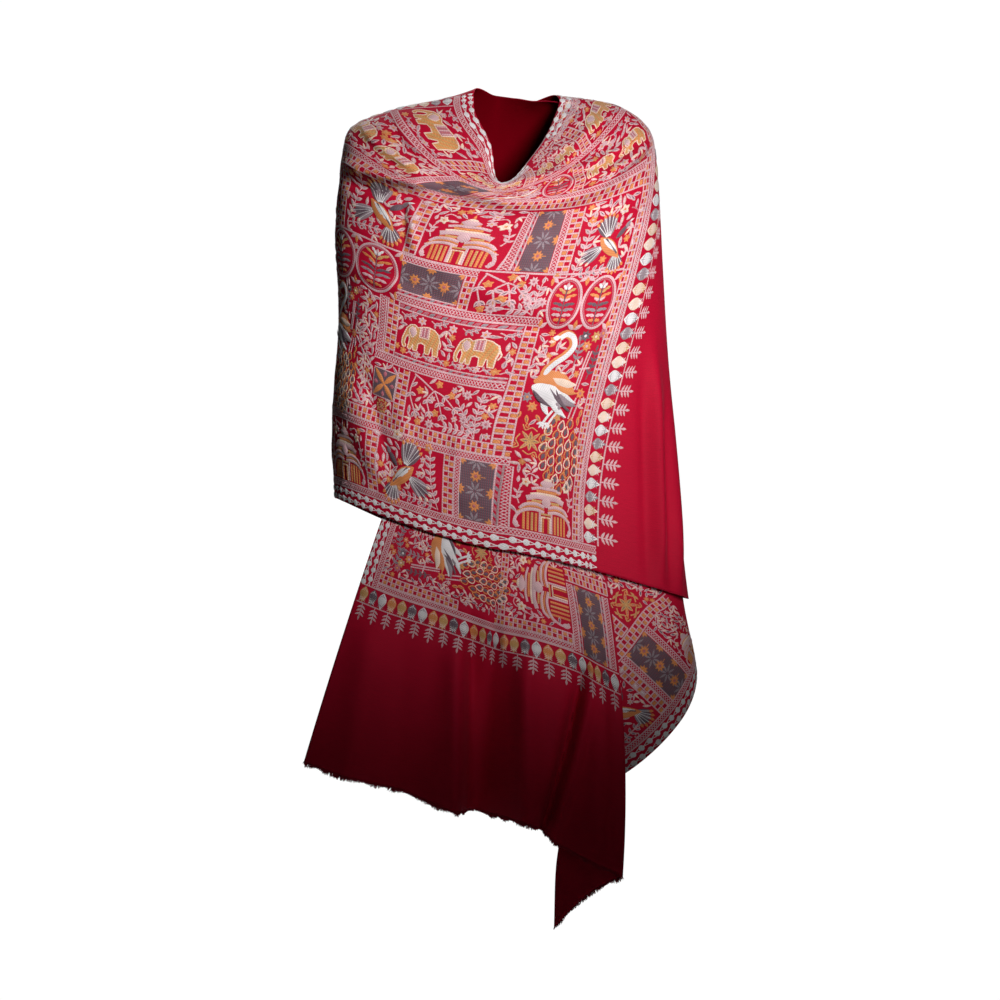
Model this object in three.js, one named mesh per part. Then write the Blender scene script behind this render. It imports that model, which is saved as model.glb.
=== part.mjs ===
// A stole of wool cloth worn as a shawl, millimetres, +Z up, the wearer facing -Y.
// The origin is at the middle of the base of the neck, on the line of the shoulders.
// The stole winds once and a half round the upper body. End A comes round the arm on the -X side,
// crosses the chest and goes over the +X shoulder. End B comes from the back over the same
// shoulder, runs down the chest under end A and hangs below it.
import * as THREE from 'three';

// Driving dimensions
const STOLE_WIDTH = 700;
const WALL = 2;
const SEAM_GAP = 0.52;
const TUCK_SEAM_GAP = 0.9;
const FRINGE_REACH = 8;
const FRINGE_WALL = 1.6;
const UNDER_LAYER = 8;
const TURN_GAP = 2.6;
const PLAIN_END = 265;
const LEFT_SEAM = 810;
const HANGING_FALL = 430;

// Where the cloth leaves the top of the shoulder and where it hangs free of it, as drops
const SHOULDER_TOP = 120;
const SHOULDER_END = 230;

// Folds stand full in front of the first depth and are gone behind the second
const FOLDS_FULL_Y = -60;
const FOLDS_GONE_Y = 10;
const FOLD_SPREAD = 0.25;

// Rows of faces: down the width of the stole, how many of them lie above the tuck, and below it
const ROWS = 26;
const TUCK_ROWS = 21;
const FALL_ROWS = 14;
const ROW_POWER = 1.43;

// Columns of faces across each piece
const COLUMNS = { cross: 25, endA: 10, hanging: 17, side: 11, back: 13, corner: 6 };

/** Rows of numbers as objects with the named columns. */
function table(columns, rows) {
  return rows.map((row) => Object.fromEntries(columns.map((column, i) => [column, row[i]])));
}

// Rings of the worn cloth, a row for each distance from the upper selvedge. left and right are
// the half widths, front and back the half depths, each with its height. pull is 1 for a round
// ring, less for a boxy one and more for a pointed one.
const RINGS = table(
  ['drop', 'left', 'leftZ', 'front', 'frontZ', 'right', 'rightZ', 'back', 'backZ', 'pull'],
  [
    [0, 38, 2, 100, -125, 81, -7, 62, 9, 1.25],
    [60, 94, -5, 114, -134, 134, -4, 88, -42, 1.1],
    [120, 154, -15, 123, -146, 178, -14, 104, -98, 1.0],
    [180, 214, -43, 127, -157, 216, -50, 113, -156, 0.9],
    [230, 226, -92, 129, -172, 226, -120, 118, -206, 0.84],
    [330, 235, -190, 130, -262, 233, -245, 122, -308, 0.8],
    [450, 230, -312, 129, -385, 241, -395, 125, -425, 0.8],
    [600, 240, -468, 129, -540, 255, -585, 129, -565, 0.8],
    [700, 236, -572, 129, -644, 270, -717, 132, -655, 0.8],
    [800, 231, -660, 129, -748, 290, -828, 134, -755, 0.8],
    [950, 231, -800, 129, -920, 292, -1000, 136, -905, 0.8],
  ],
);

// Cross lines of the outer layer, a row for each distance from the fringe of end A, with the
// azimuth of the line at the hem and at the neck, in degrees from the front toward +X.
const OUTER_LINES = table(
  ['along', 'hem', 'neck'],
  [
    [0, 105, 215],
    [265, 25, 176],
    [300, 20.5, 146],
    [400, 4, 66],
    [530, -21, 29],
    [640, -50, -14],
    [750, -88, -84],
    [810, -105, -105],
  ],
);
const LEAN_POWER = 2.2;

// The plain middle and the stretch under end A, a row for each azimuth, counted on past the back:
// how far in the cloth lies and how far down its lower selvedge hangs.
const INNER_LINES = table(
  ['turn', 'inset', 'bottom'],
  [
    [-105, 0, 700],
    [-114, 0, 700],
    [-142, 8, 706],
    [-180, 8, 716],
    [-225, 8, 742],
    [-270, 8, 790],
    [-300, 8, 860],
    [-331, 8, 950],
  ],
);
const BACK_TURN = -105;
const SIDE_TURN = -236;
const TUCK_TURN = -331;

// The largest folds of the outer layer, as ridges seen from the front: from one end to the other,
// hanging by sag between them, with their width and height.
const FOLDS = table(
  ['name', 'x0', 'z0', 'x1', 'z1', 'sag', 'width', 'height'],
  [
    ['cowl roll', -92, -124, 206, -70, 62, 15, 17],
    ['cowl lip', -60, -96, 120, -50, 62, 10, 9],
    ['left shoulder pleat', -196, -42, -86, -132, 8, 9, 8],
    ['left chest pleat', -224, -104, -92, -138, 4, 9, 8],
    ['chest drape', -132, -232, 150, -334, 12, 14, 6],
    ['left hem roll', -218, -398, -168, -548, 0, 18, 8],
    ['side fall one', 214, -340, 226, -690, 0, 10, 7],
    ['side fall two', 244, -300, 252, -700, 0, 8, 6],
  ],
);

// The hanging end, a row for each flute from its free selvedge (across 0) to the turned edge
// (across 1): where it stands at the lower edge and how deep it lies there and halfway.
const HANGING_FLUTES = table(
  ['across', 'x', 'y', 'z', 'midX', 'midY'],
  [
    [0, -272, -118, -938, -219, -122],
    [0.14, -216, -134, -956, -166, -133],
    [0.32, -134, -128, -977, -89, -131],
    [0.46, -68, -138, -1002, -32, -136],
    [0.56, -16, -112, -1012, -4, -122],
    [0.7, 44, -140, -1022, 56, -138],
    [0.82, 84, -126, -1052, 112, -124],
    [0.92, 130, -134, -1076, 142, -133],
    [1, 170, -128, -1094, 171, -128],
  ],
);

// The free selvedge of end B under the outer layer: where it leaves the neck and how it leans.
const SELVEDGE = { topX: 22, lean: 0.36, fromZ: 130 };

// The corner of end B, turned back behind the hanging end: a row for each height from its top,
// with its two edges, how far the cloth between them is lifted and how far it lies behind.
const TURNED_ROWS = table(
  ['down', 'foldX', 'foldZ', 'edgeX', 'edgeZ', 'lift', 'behind'],
  [
    [0, 166, -952, 112, -1010, 0, 7],
    [0.5, 168, -1024, 78, -1082, 8, 9],
    [1, 169, -1096, 75, -1170, 10, 10],
  ],
);

const RED = new THREE.Color(0xa81c3c);
const DARK_RED = new THREE.Color(0x6e0e20);
const PATCH_RED = new THREE.Color(0xb45a62);

/** Smooth cubic through the rows of a table, by the value of one column. */
function fromTable(rows, key, value, column) {
  const rising = rows[rows.length - 1][key] > rows[0][key];
  let i = 0;
  while (i < rows.length - 2 && (rising ? value > rows[i + 1][key] : value < rows[i + 1][key])) {
    i += 1;
  }
  const span = rows[i + 1][key] - rows[i][key];
  const f = (value - rows[i][key]) / span;
  const slope = (k) => {
    const a = rows[Math.max(k - 1, 0)];
    const b = rows[Math.min(k + 1, rows.length - 1)];
    return (b[column] - a[column]) / (b[key] - a[key]);
  };
  const p = rows[i][column];
  const q = rows[i + 1][column];
  const m = slope(i) * span;
  const n = slope(i + 1) * span;
  const f2 = f * f;
  const f3 = f2 * f;
  return (2 * f3 - 3 * f2 + 1) * p + (f3 - 2 * f2 + f) * m + (3 * f2 - 2 * f3) * q + (f3 - f2) * n;
}

/** Eases from 0 to 1 as value goes from start to end. */
function ease(value, start, end) {
  return THREE.MathUtils.smoothstep(value, start, end);
}

/** A point of the figure's cloth: azimuth in degrees from the front toward +X, drop down from the neck. */
function ringPoint(azimuth, drop, inset = 0) {
  const at = (column) => fromTable(RINGS, 'drop', drop, column);
  const angle = THREE.MathUtils.degToRad(azimuth);
  const sin = Math.sin(angle);
  const cos = Math.cos(angle);
  const pull = at('pull');
  const width = (sin < 0 ? at('left') : at('right')) - inset;
  const depth = (cos > 0 ? at('front') : at('back')) - inset;
  const heights = [at('frontZ'), at('rightZ'), at('backZ'), at('leftZ')];
  const mean = (heights[0] + heights[1] + heights[2] + heights[3]) / 4;
  const tilt = (heights[1] - heights[3]) / 2;
  const pitch = (heights[0] - heights[2]) / 2;
  const saddle = (heights[0] + heights[2] - heights[1] - heights[3]) / 4;
  const shoulderLoss = inset * (1 - ease(drop, SHOULDER_TOP, SHOULDER_END));
  return new THREE.Vector3(
    Math.sign(sin) * width * Math.abs(sin) ** pull,
    -Math.sign(cos) * depth * Math.abs(cos) ** pull,
    mean + tilt * sin + pitch * cos + saddle * Math.cos(2 * angle) - shoulderLoss,
  );
}

/** How far the folds lift the outer layer at a point of it. */
function foldLift(point) {
  let lift = 0;
  for (const fold of FOLDS) {
    const runX = fold.x1 - fold.x0;
    const runZ = fold.z1 - fold.z0;
    const length2 = runX * runX + runZ * runZ;
    const f = ((point.x - fold.x0) * runX + (point.z - fold.z0) * runZ) / length2;
    const away = ((point.z - fold.z0) * runX - (point.x - fold.x0) * runZ) / Math.sqrt(length2);
    const hang = away + fold.sag * 4 * f * (1 - f);
    const ends = ease(f, -0.1, 0.25) * (1 - ease(f, 0.75, 1.1));
    lift += fold.height * ends * Math.exp(-((hang / fold.width) ** 2));
  }
  return lift * (1 - ease(point.y, FOLDS_FULL_Y, FOLDS_GONE_Y));
}

/** The outer layer: along from the fringe of end A, drop down from the upper selvedge. */
function outerPoint(along, drop) {
  const hem = fromTable(OUTER_LINES, 'along', along, 'hem');
  const neck = fromTable(OUTER_LINES, 'along', along, 'neck');
  const lean = Math.max(1 - drop / STOLE_WIDTH, 0) ** LEAN_POWER;
  const azimuth = hem + (neck - hem) * lean;
  const point = ringPoint(azimuth, drop);
  const lift = foldLift(point);
  const outward = new THREE.Vector3(point.x * FOLD_SPREAD, point.y, 0).normalize();
  return point.addScaledVector(outward, lift);
}

/** The plain middle and the stretch under end A: turn in degrees past the back, down from 0 to 1. */
function innerPoint(turn, down) {
  const inset = fromTable(INNER_LINES, 'turn', turn, 'inset');
  const bottom = fromTable(INNER_LINES, 'turn', turn, 'bottom');
  return ringPoint(turn, down * bottom, inset);
}

/** Where the hidden top of end B lies, under the outer layer, at a drop from the neck. */
function underPoint(across, drop) {
  const tuck = ringPoint(TUCK_TURN, drop, UNDER_LAYER);
  const heart = ringPoint(0, drop, UNDER_LAYER);
  const leaning = SELVEDGE.lean * ease(drop, 0, SHOULDER_END);
  const edgeX = SELVEDGE.topX + leaning * (heart.z + SELVEDGE.fromZ);
  const x = THREE.MathUtils.lerp(edgeX, tuck.x, across);
  const side = ringPoint(x < 0 ? -90 : 90, drop, UNDER_LAYER);
  const pull = fromTable(RINGS, 'drop', drop, 'pull');
  const part = Math.min(Math.abs(x / side.x), 1) ** (1 / pull);
  const azimuth = THREE.MathUtils.radToDeg(Math.asin(part)) * Math.sign(x);
  return ringPoint(azimuth, drop, UNDER_LAYER);
}

/** End B: level is its drop under the outer layer, and then goes on down the hanging end. */
function hangingPoint(across, level) {
  const point = underPoint(across, Math.min(level, STOLE_WIDTH));
  if (level <= STOLE_WIDTH) {
    return point;
  }
  const f = (level - STOLE_WIDTH) / HANGING_FALL;
  const at = (column) => fromTable(HANGING_FLUTES, 'across', across, column);
  const low = new THREE.Vector3(at('x'), at('y'), at('z'));
  const middle = new THREE.Vector3(at('midX'), at('midY'), (point.z + low.z) / 2);
  const first = (1 - f) * (1 - 2 * f);
  const second = 4 * f * (1 - f);
  const third = f * (2 * f - 1);
  return point.multiplyScalar(first).addScaledVector(middle, second).addScaledVector(low, third);
}

/** The turned corner: across from the turned edge (0) to the free selvedge (1). */
function turnedPoint(across, down) {
  const at = (column) => fromTable(TURNED_ROWS, 'down', down, column);
  const x = THREE.MathUtils.lerp(at('foldX'), at('edgeX'), across);
  const straight = THREE.MathUtils.lerp(at('foldZ'), at('edgeZ'), across);
  const z = straight + at('lift') * 4 * across * (1 - across);
  const turnedEdge = fromTable(HANGING_FLUTES, 'across', 1, 'y');
  return new THREE.Vector3(x, turnedEdge + TURN_GAP + at('behind') * ease(across, 0, 0.5), z);
}

/** Evenly spaced numbers from first to last. */
function steps(first, last, count) {
  return Array.from({ length: count + 1 }, (_, i) => first + ((last - first) * i) / count);
}

/** A closed wall round the middle surface point(u, v), open lists the edges at a seam of that gap. */
function wall(point, columns, rows, open = [], thickness = WALL, gap = SEAM_GAP) {
  const lastColumn = columns.length - 1;
  const lastRow = rows.length - 1;
  const stepU = (columns[lastColumn] - columns[0]) / 1000;
  const stepV = (rows[lastRow] - rows[0]) / 1000;
  const isOpen = (edge, here) => (here && open.includes(edge) ? 1 : 0);
  const positions = [];
  const index = [];
  for (const side of [1, -1]) {
    rows.forEach((v, j) => columns.forEach((u, i) => {
      const alongU = point(u + stepU, v).sub(point(u - stepU, v)).normalize();
      const alongV = point(u, v + stepV).sub(point(u, v - stepV)).normalize();
      const normal = alongU.clone().cross(alongV).normalize();
      const place = point(u, v).addScaledVector(normal, (side * thickness) / 2);
      const inwardU = isOpen('start', i === 0) - isOpen('end', i === lastColumn);
      place.addScaledVector(alongU, (inwardU * gap) / 2);
      positions.push(place.x, place.y, place.z);
    }));
  }
  const across = columns.length;
  const half = across * rows.length;
  const quad = (a, b, c, d) => index.push(a, b, c, a, c, d);
  for (let j = 0; j < lastRow; j += 1) {
    for (let i = 0; i < lastColumn; i += 1) {
      const a = j * across + i;
      quad(a, a + 1, a + across + 1, a + across);
      quad(half + a, half + a + across, half + a + across + 1, half + a + 1);
    }
    const first = j * across;
    const last = first + lastColumn;
    quad(first, first + across, half + first + across, half + first);
    quad(last, half + last, half + last + across, last + across);
  }
  for (let i = 0; i < lastColumn; i += 1) {
    const low = lastRow * across + i;
    quad(i, half + i, half + i + 1, i + 1);
    quad(low, low + 1, half + low + 1, half + low);
  }
  const geometry = new THREE.BufferGeometry();
  geometry.setAttribute('position', new THREE.Float32BufferAttribute(positions, 3));
  geometry.setIndex(index);
  return geometry;
}

/** The reach of the fringe past a cut edge edge(u), with inner(u) a little way up the cloth. */
function fringeStrip(edge, inner, columns) {
  const reach = (u, v) => {
    const start = edge(u);
    const way = start.clone().sub(inner(u)).normalize();
    return start.addScaledVector(way, SEAM_GAP + v * FRINGE_REACH);
  };
  return wall(reach, columns, steps(0, 1, 1), [], FRINGE_WALL);
}

const shawl = new THREE.Group();
shawl.name = 'patchwork_shawl';

/** Adds one piece of cloth to the shawl. */
function addPiece(name, geometry, color) {
  const material = new THREE.MeshStandardMaterial({ color, roughness: 0.85, metalness: 0 });
  const mesh = new THREE.Mesh(geometry, material);
  mesh.name = name;
  shawl.add(mesh);
}

/** Rows down the cloth, from 0 to 1, closer together over the shoulder. */
const DOWN_ROWS = steps(0, 1, ROWS).map((w) => w ** ROW_POWER);
const OUTER_ROWS = DOWN_ROWS.map((down) => down * STOLE_WIDTH);
const TUCK_LENGTH = STOLE_WIDTH / DOWN_ROWS[TUCK_ROWS];
const UNDER_ROWS = DOWN_ROWS.slice(0, TUCK_ROWS + 1).map((down) => down * TUCK_LENGTH);
const FALL_STEPS = steps(STOLE_WIDTH, STOLE_WIDTH + HANGING_FALL, FALL_ROWS);
const HANGING_ROWS = [...UNDER_ROWS, ...FALL_STEPS.slice(1)];
const CROSS_COLUMNS = steps(LEFT_SEAM, PLAIN_END, COLUMNS.cross);
const END_A_COLUMNS = steps(PLAIN_END, 0, COLUMNS.endA);
const HANGING_COLUMNS = steps(0, 1, COLUMNS.hanging);
const SIDE_COLUMNS = steps(TUCK_TURN, SIDE_TURN, COLUMNS.side);
const BACK_COLUMNS = steps(SIDE_TURN, BACK_TURN, COLUMNS.back);
const CORNER_STEPS = steps(0, 1, COLUMNS.corner);
const CORNER_FRINGE_FROM = 0.97;

addPiece('front_cross', wall(outerPoint, CROSS_COLUMNS, OUTER_ROWS, ['start', 'end']), PATCH_RED);
addPiece('end_a_side', wall(outerPoint, END_A_COLUMNS, OUTER_ROWS, ['start']), RED);
addPiece('back_field', wall(innerPoint, BACK_COLUMNS, DOWN_ROWS, ['start', 'end']), DARK_RED);
addPiece('side_drop', wall(innerPoint, SIDE_COLUMNS, DOWN_ROWS, ['start', 'end']), RED);
const hangingWall = wall(hangingPoint, HANGING_COLUMNS, HANGING_ROWS, ['end'], WALL, TUCK_SEAM_GAP);
addPiece('hanging_end', hangingWall, DARK_RED);
addPiece('turned_corner', wall(turnedPoint, CORNER_STEPS, CORNER_STEPS), DARK_RED);
addPiece('fringe_end_a', fringeStrip(
  (drop) => outerPoint(0, drop),
  (drop) => outerPoint(FRINGE_REACH, drop),
  OUTER_ROWS,
), RED);
addPiece('fringe_hanging_end', fringeStrip(
  (across) => hangingPoint(across, STOLE_WIDTH + HANGING_FALL),
  (across) => hangingPoint(across, STOLE_WIDTH + HANGING_FALL - FRINGE_REACH),
  HANGING_COLUMNS.toReversed(),
), DARK_RED);
addPiece('fringe_turned_corner', fringeStrip(
  (across) => turnedPoint(across, 1),
  (across) => turnedPoint(across, CORNER_FRINGE_FROM),
  CORNER_STEPS.toReversed(),
), DARK_RED);

export default shawl;
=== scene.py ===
"""A crimson wool stole worn as a shawl, embroidered in patches, with its studio."""

import logging
import math
from collections.abc import Callable
from dataclasses import dataclass, field, replace
from enum import Enum
from typing import Any

import bpy
import numpy as np
from bpy.types import Material, Node, NodeSocket, NodeTree, Object
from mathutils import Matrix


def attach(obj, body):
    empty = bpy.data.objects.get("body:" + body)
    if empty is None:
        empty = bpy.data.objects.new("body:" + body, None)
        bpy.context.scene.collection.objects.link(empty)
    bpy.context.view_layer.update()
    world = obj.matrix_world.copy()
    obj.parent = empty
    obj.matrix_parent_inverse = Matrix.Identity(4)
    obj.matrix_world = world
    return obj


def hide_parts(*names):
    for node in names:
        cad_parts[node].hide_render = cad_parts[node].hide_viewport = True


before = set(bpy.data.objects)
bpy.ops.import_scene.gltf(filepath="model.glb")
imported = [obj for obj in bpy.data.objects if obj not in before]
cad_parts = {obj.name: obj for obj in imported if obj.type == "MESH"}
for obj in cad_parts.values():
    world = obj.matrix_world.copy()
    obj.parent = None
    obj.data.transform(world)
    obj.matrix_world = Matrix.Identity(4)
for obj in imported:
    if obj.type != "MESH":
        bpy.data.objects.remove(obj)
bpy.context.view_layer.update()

LOG = logging.getLogger("shawl")
Array = np.ndarray
Pair = tuple[float, float]
Triple = tuple[float, float, float]
MM = 0.001
WHITE = (1.0, 1.0, 1.0, 1.0)

# The stole and how it is draped, in mm, and in degrees round the figure from the front toward +X.
STOLE_WIDTH = 700.0
LEFT_SEAM = 810.0
HANGING_FALL = 430.0
END_LENGTH = STOLE_WIDTH + HANGING_FALL
END_WIDTH = 460.0
FRINGE_BACK = 4.0
UNDER_LAYER = 8.0
TUCK_TURN = -331.0
BACK_TURN = -105.0
LEAN_POWER = 2.2
NECK_SUNK = 13.0
UNDER_EDGE = 22.0
UNDER_FLARE = 0.36
HEART_LEVEL = -130.0
CHEST_DROP = 230.0
WEFT_SLANT = 33.0
WEFT_SLANT_LOST = 25.0
CORNER_DEPTH = -128.0
CORNER_GAP = 2.6
PUCKER = 0.55

# The flap at the hip: its length, how far down it starts, where it ends and how it leans, and the rounds of
# working back from a height to a drop.
FLAP_LENGTH = 260.0
FLAP_DROP = 760.0
FLAP_END_TURN = -225.0
FLAP_LEAN = 47.0
FLAP_ROUNDS = 8

# Ways on a cloth's flat coordinates: nearer to and farther from its first line, and up and down.
NEARER = (-1.0, 0.0)
FARTHER = (1.0, 0.0)
UP = (0.0, -1.0)
DOWN = (0.0, 1.0)


# -------- tables of the draped cloth, in mm


class Table:
    """Rows of numbers with named columns, read between rows along a smooth cubic."""

    def __init__(self, columns: str, rows: list[tuple[float, ...]]) -> None:
        """Keeps the rows in rising order and finds the slopes at each of them.

        Args:
            columns: names of the columns, the first being the one that is looked up.
            rows: the rows, in any order.
        """
        data = np.array(sorted(rows), dtype=float)
        self.names = columns.split()
        self.key = data[:, 0]
        self.values = data
        ahead = np.minimum(np.arange(len(data)) + 1, len(data) - 1)
        behind = np.maximum(np.arange(len(data)) - 1, 0)
        self.slopes = (data[ahead] - data[behind]) / (self.key[ahead] - self.key[behind])[:, None]

    def at(self, value: Array, column: str) -> Array:
        """Reads one column at the given values of the first.

        Args:
            value: where to read, any shape.
            column: the column's name.

        Returns:
            The column's values, in the same shape.
        """
        c = self.names.index(column)
        value = np.asarray(value, dtype=float)
        i = np.clip(np.searchsorted(self.key, value) - 1, 0, len(self.key) - 2)
        span = self.key[i + 1] - self.key[i]
        f = (value - self.key[i]) / span
        p, q = self.values[i, c], self.values[i + 1, c]
        m, n = self.slopes[i, c] * span, self.slopes[i + 1, c] * span
        start = (2 * f**3 - 3 * f**2 + 1) * p + (f**3 - 2 * f**2 + f) * m
        return start + (3 * f**2 - 2 * f**3) * q + (f**3 - f**2) * n


RINGS = Table(
    "drop left left_z front front_z right right_z back back_z pull",
    [
        (0, 38, 2, 100, -125, 81, -7, 62, 9, 1.25), (60, 94, -5, 114, -134, 134, -4, 88, -42, 1.1),
        (120, 154, -15, 123, -146, 178, -14, 104, -98, 1.0),
        (180, 214, -43, 127, -157, 216, -50, 113, -156, 0.9),
        (230, 226, -92, 129, -172, 226, -120, 118, -206, 0.84),
        (330, 235, -190, 130, -262, 233, -245, 122, -308, 0.8),
        (450, 230, -312, 129, -385, 241, -395, 125, -425, 0.8),
        (600, 240, -468, 129, -540, 255, -585, 129, -565, 0.8),
        (700, 236, -572, 129, -644, 270, -717, 132, -655, 0.8),
        (800, 231, -660, 129, -748, 290, -828, 134, -755, 0.8),
        (950, 231, -800, 129, -920, 292, -1000, 136, -905, 0.8),
    ],
)
OUTER_LINES = Table(
    "along hem neck",
    [
        (0, 105, 215), (265, 25, 176), (300, 20.5, 146), (400, 4, 66), (530, -21, 29), (640, -50, -14),
        (750, -88, -84), (810, -105, -105),
    ],
)
INNER_LINES = Table(
    "turn inset bottom top rise",
    [
        (-105, 0, 700, 0, 0), (-114, 0, 700, 0, 0), (-142, 8, 706, 0, 6), (-180, 8, 716, 0, 13),
        (-205, 8, 730, 0, 7), (-225, 8, 742, 4, 0), (-270, 8, 790, 20, 0), (-300, 8, 860, 20, 0),
        (-331, 8, 950, 20, 0),
    ],
)
HANGING_FLUTES = Table(
    "across x y z mid_x mid_y",
    [
        (0, -272, -118, -938, -219, -122), (0.14, -216, -134, -956, -166, -133),
        (0.32, -134, -128, -977, -89, -131), (0.46, -68, -138, -1002, -32, -136),
        (0.56, -16, -112, -1012, -4, -122), (0.7, 44, -140, -1022, 56, -138),
        (0.82, 84, -126, -1052, 112, -124), (0.92, 130, -134, -1076, 142, -133),
        (1, 170, -128, -1094, 171, -128),
    ],
)
TURNED_ROWS = Table(
    "down fold_x fold_z edge_x edge_z lift behind",
    [
        (0, 166, -952, 90, -1010, 0, 7), (0.5, 168, -1024, 78, -1082, 8, 12),
        (1, 169, -1096, 75, -1170, 10, 15),
    ],
)


@dataclass(frozen=True)
class Crease:
    """A ridge or trough of the cloth, drawn on the front view, in mm; far is its width past its line."""

    start: Pair
    end: Pair
    sag: float
    width: float
    height: float
    far: float = 0.0

    def lift(self, x: Array, z: Array) -> Array:
        """How far this crease lifts the cloth at each point.

        Args:
            x: the points' x in mm.
            z: the points' z in mm.

        Returns:
            The lift in mm.
        """
        run_x, run_z = self.end[0] - self.start[0], self.end[1] - self.start[1]
        length = math.hypot(run_x, run_z)
        f = ((x - self.start[0]) * run_x + (z - self.start[1]) * run_z) / length**2
        away = ((z - self.start[1]) * run_x - (x - self.start[0]) * run_z) / length
        hang = away + self.sag * 4 * f * (1 - f)
        ends = ease(f, -0.1, 0.25) * (1 - ease(f, 0.75, 1.1))
        width = np.where(hang > 0, self.far or self.width, self.width)
        return self.height * ends * np.exp(-((hang / width) ** 2))


def creases(*rows: tuple[float, ...]) -> tuple[Crease, ...]:
    """Creases from rows of x and z at the start, x and z at the end, sag, width, height and far."""
    return tuple(Crease(row[:2], row[2:4], *row[4:]) for row in rows)


LARGEST_FOLDS = creases(
    (-92, -124, 206, -70, 62, 15, 17), (-60, -96, 120, -50, 62, 10, 9), (-196, -42, -86, -132, 8, 9, 11),
    (-224, -104, -92, -138, 4, 9, 11), (-132, -232, 150, -334, 12, 14, 6),
    (-218, -398, -168, -548, 0, 18, 8), (214, -340, 226, -690, 0, 10, 7), (244, -300, 252, -700, 0, 8, 6),
)
FINER_FOLDS = creases(
    (-176, -30, -84, -136, 10, 6, 6), (-222, -92, -90, -140, 8, 6, 7), (-214, -128, -104, -150, 6, 7, -7),
    (-70, -128, 196, -58, 62, 7, -9), (-36, -120, 212, -44, 36, 6, 9), (40, -138, 214, -66, 22, 6, 8),
    (70, -176, 216, -112, 14, 7, -4), (60, -96, 150, -22, 8, 6, 5), (-150, -60, -70, -140, 12, 5, -7),
    (-150, -20, -60, -122, 16, 6, 7), (-121, -156, -116, -236, 2, 7, 6), (-134, -150, -132, -240, 2, 6, -4),
    (-150, -262, 120, -350, 16, 9, -4), (-200, -250, -110, -286, 8, 9, 4),
    (-190, -395, -150, -548, 0, 9, -5), (-140, -420, -118, -560, 4, 12, 4),
    (-60, -470, -52, -590, 2, 12, 3), (40, -500, 52, -610, 2, 12, 3), (200, -400, 206, -700, 0, 8, -5),
    (217, -380, 224, -700, 0, 7, 6), (233, -420, 240, -710, 0, 6, -5), (245, -400, 254, -720, 0, 6, 5),
)
BACK_FOLDS = creases(
    (-70, -40, -196, -330, -26, 13, -7), (-40, -60, -150, -470, -22, 16, -8),
    (-10, -90, -70, -600, -14, 20, -7), (30, -120, 24, -640, 0, 18, -6), (60, -80, 140, -520, 16, 16, -8),
    (90, -60, 222, -420, 20, 12, -6), (-212, -180, -216, -560, 0, 12, -5),
    (-120, -420, -176, -640, -8, 14, -6), (80, -420, 110, -690, 4, 15, -6),
    (-150, -300, 150, -372, 20, 16, -4),
)
END_A_FOLDS = creases(
    (96, -70, 226, -300, 18, 12, 6), (70, -60, 180, -240, 14, 9, 5), (232, -260, 250, -640, 0, 14, 6),
    (206, -330, 228, -560, 0, 10, 4), (262, -420, 280, -740, 0, 10, 5),
)
HANGING_FOLDS = creases(
    (-38, -745, -44, -1125, 0, 9, -44, 32), (34, -770, 38, -1080, 0, 14, 9),
    (-62, -770, -58, -1050, 0, 12, 7), (-62, -760, -74, -1040, 0, 22, 8), (36, -780, 30, -1050, 0, 18, 8),
    (112, -815, 44, -1070, -7, 8, -28), (128, -820, 64, -1060, -7, 9, 12),
    (-180, -740, -212, -980, 0, 20, 7), (-132, -740, -150, -1000, 0, 22, -6),
    (142, -760, 148, -1080, 0, 9, -6), (12, -690, 8, -800, 3, 10, 5),
)


@dataclass(frozen=True)
class Pull:
    """A soft pull of the cloth round one spot of the front view, in mm."""

    x: float
    z: float
    wide: float
    tall: float
    far: float

    def reach(self, x: Array, z: Array) -> Array:
        """How far the cloth is pulled at each point."""
        return self.far * np.exp(-(((x - self.x) / self.wide) ** 2) - ((z - self.z) / self.tall) ** 2)


LIP_ASIDE = Pull(-34, -78, 34, 40, 13)
LIP_SAG = Pull(2, -116, 30, 26, 11)


def joined(*parts: Array) -> Array:
    """Arrays of one shape, put side by side along a new last axis."""
    return np.stack(parts, axis=-1)


def ease(value: Array, start: float, end: float) -> Array:
    """Eases from 0 to 1 as value goes from start to end."""
    f = np.clip((np.asarray(value, dtype=float) - start) / (end - start), 0, 1)
    return f * f * (3 - 2 * f)


def ring_point(azimuth: Array, drop: Array, inset: Array | float = 0.0) -> Array:
    """A point of the cloth on the figure.

    Args:
        azimuth: degrees from the front toward +X.
        drop: mm down from the neck.
        inset: how far inside the outer layer.

    Returns:
        Points in mm, one more axis than azimuth.
    """
    azimuth, drop, inset = np.broadcast_arrays(azimuth, drop, inset)
    sin, cos = np.sin(np.radians(azimuth)), np.cos(np.radians(azimuth))
    pull = RINGS.at(drop, "pull")
    width = np.where(sin < 0, RINGS.at(drop, "left"), RINGS.at(drop, "right")) - inset
    depth = np.where(cos > 0, RINGS.at(drop, "front"), RINGS.at(drop, "back")) - inset
    front, right, back, left = (RINGS.at(drop, c) for c in ("front_z", "right_z", "back_z", "left_z"))
    height = (front + right + back + left) / 4 + (right - left) / 2 * sin + (front - back) / 2 * cos
    height = height + (front + back - right - left) / 4 * np.cos(2 * np.radians(azimuth))
    height = height - inset * (1 - ease(drop, 120, CHEST_DROP))
    x = np.sign(sin) * width * np.abs(sin) ** pull
    y = -np.sign(cos) * depth * np.abs(cos) ** pull
    return joined(x, y, height)


def pushed_out(point: Array, lift: Array) -> Array:
    """Moves points straight out of the wrapped cloth by lift mm.

    Args:
        point: the points in mm.
        lift: how far each one goes.

    Returns:
        The moved points.
    """
    outward = joined(point[..., 0] * 0.25, point[..., 1], np.zeros_like(lift))
    outward /= np.linalg.norm(outward, axis=-1, keepdims=True) + 1e-9
    return point + outward * lift[..., None]


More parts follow.
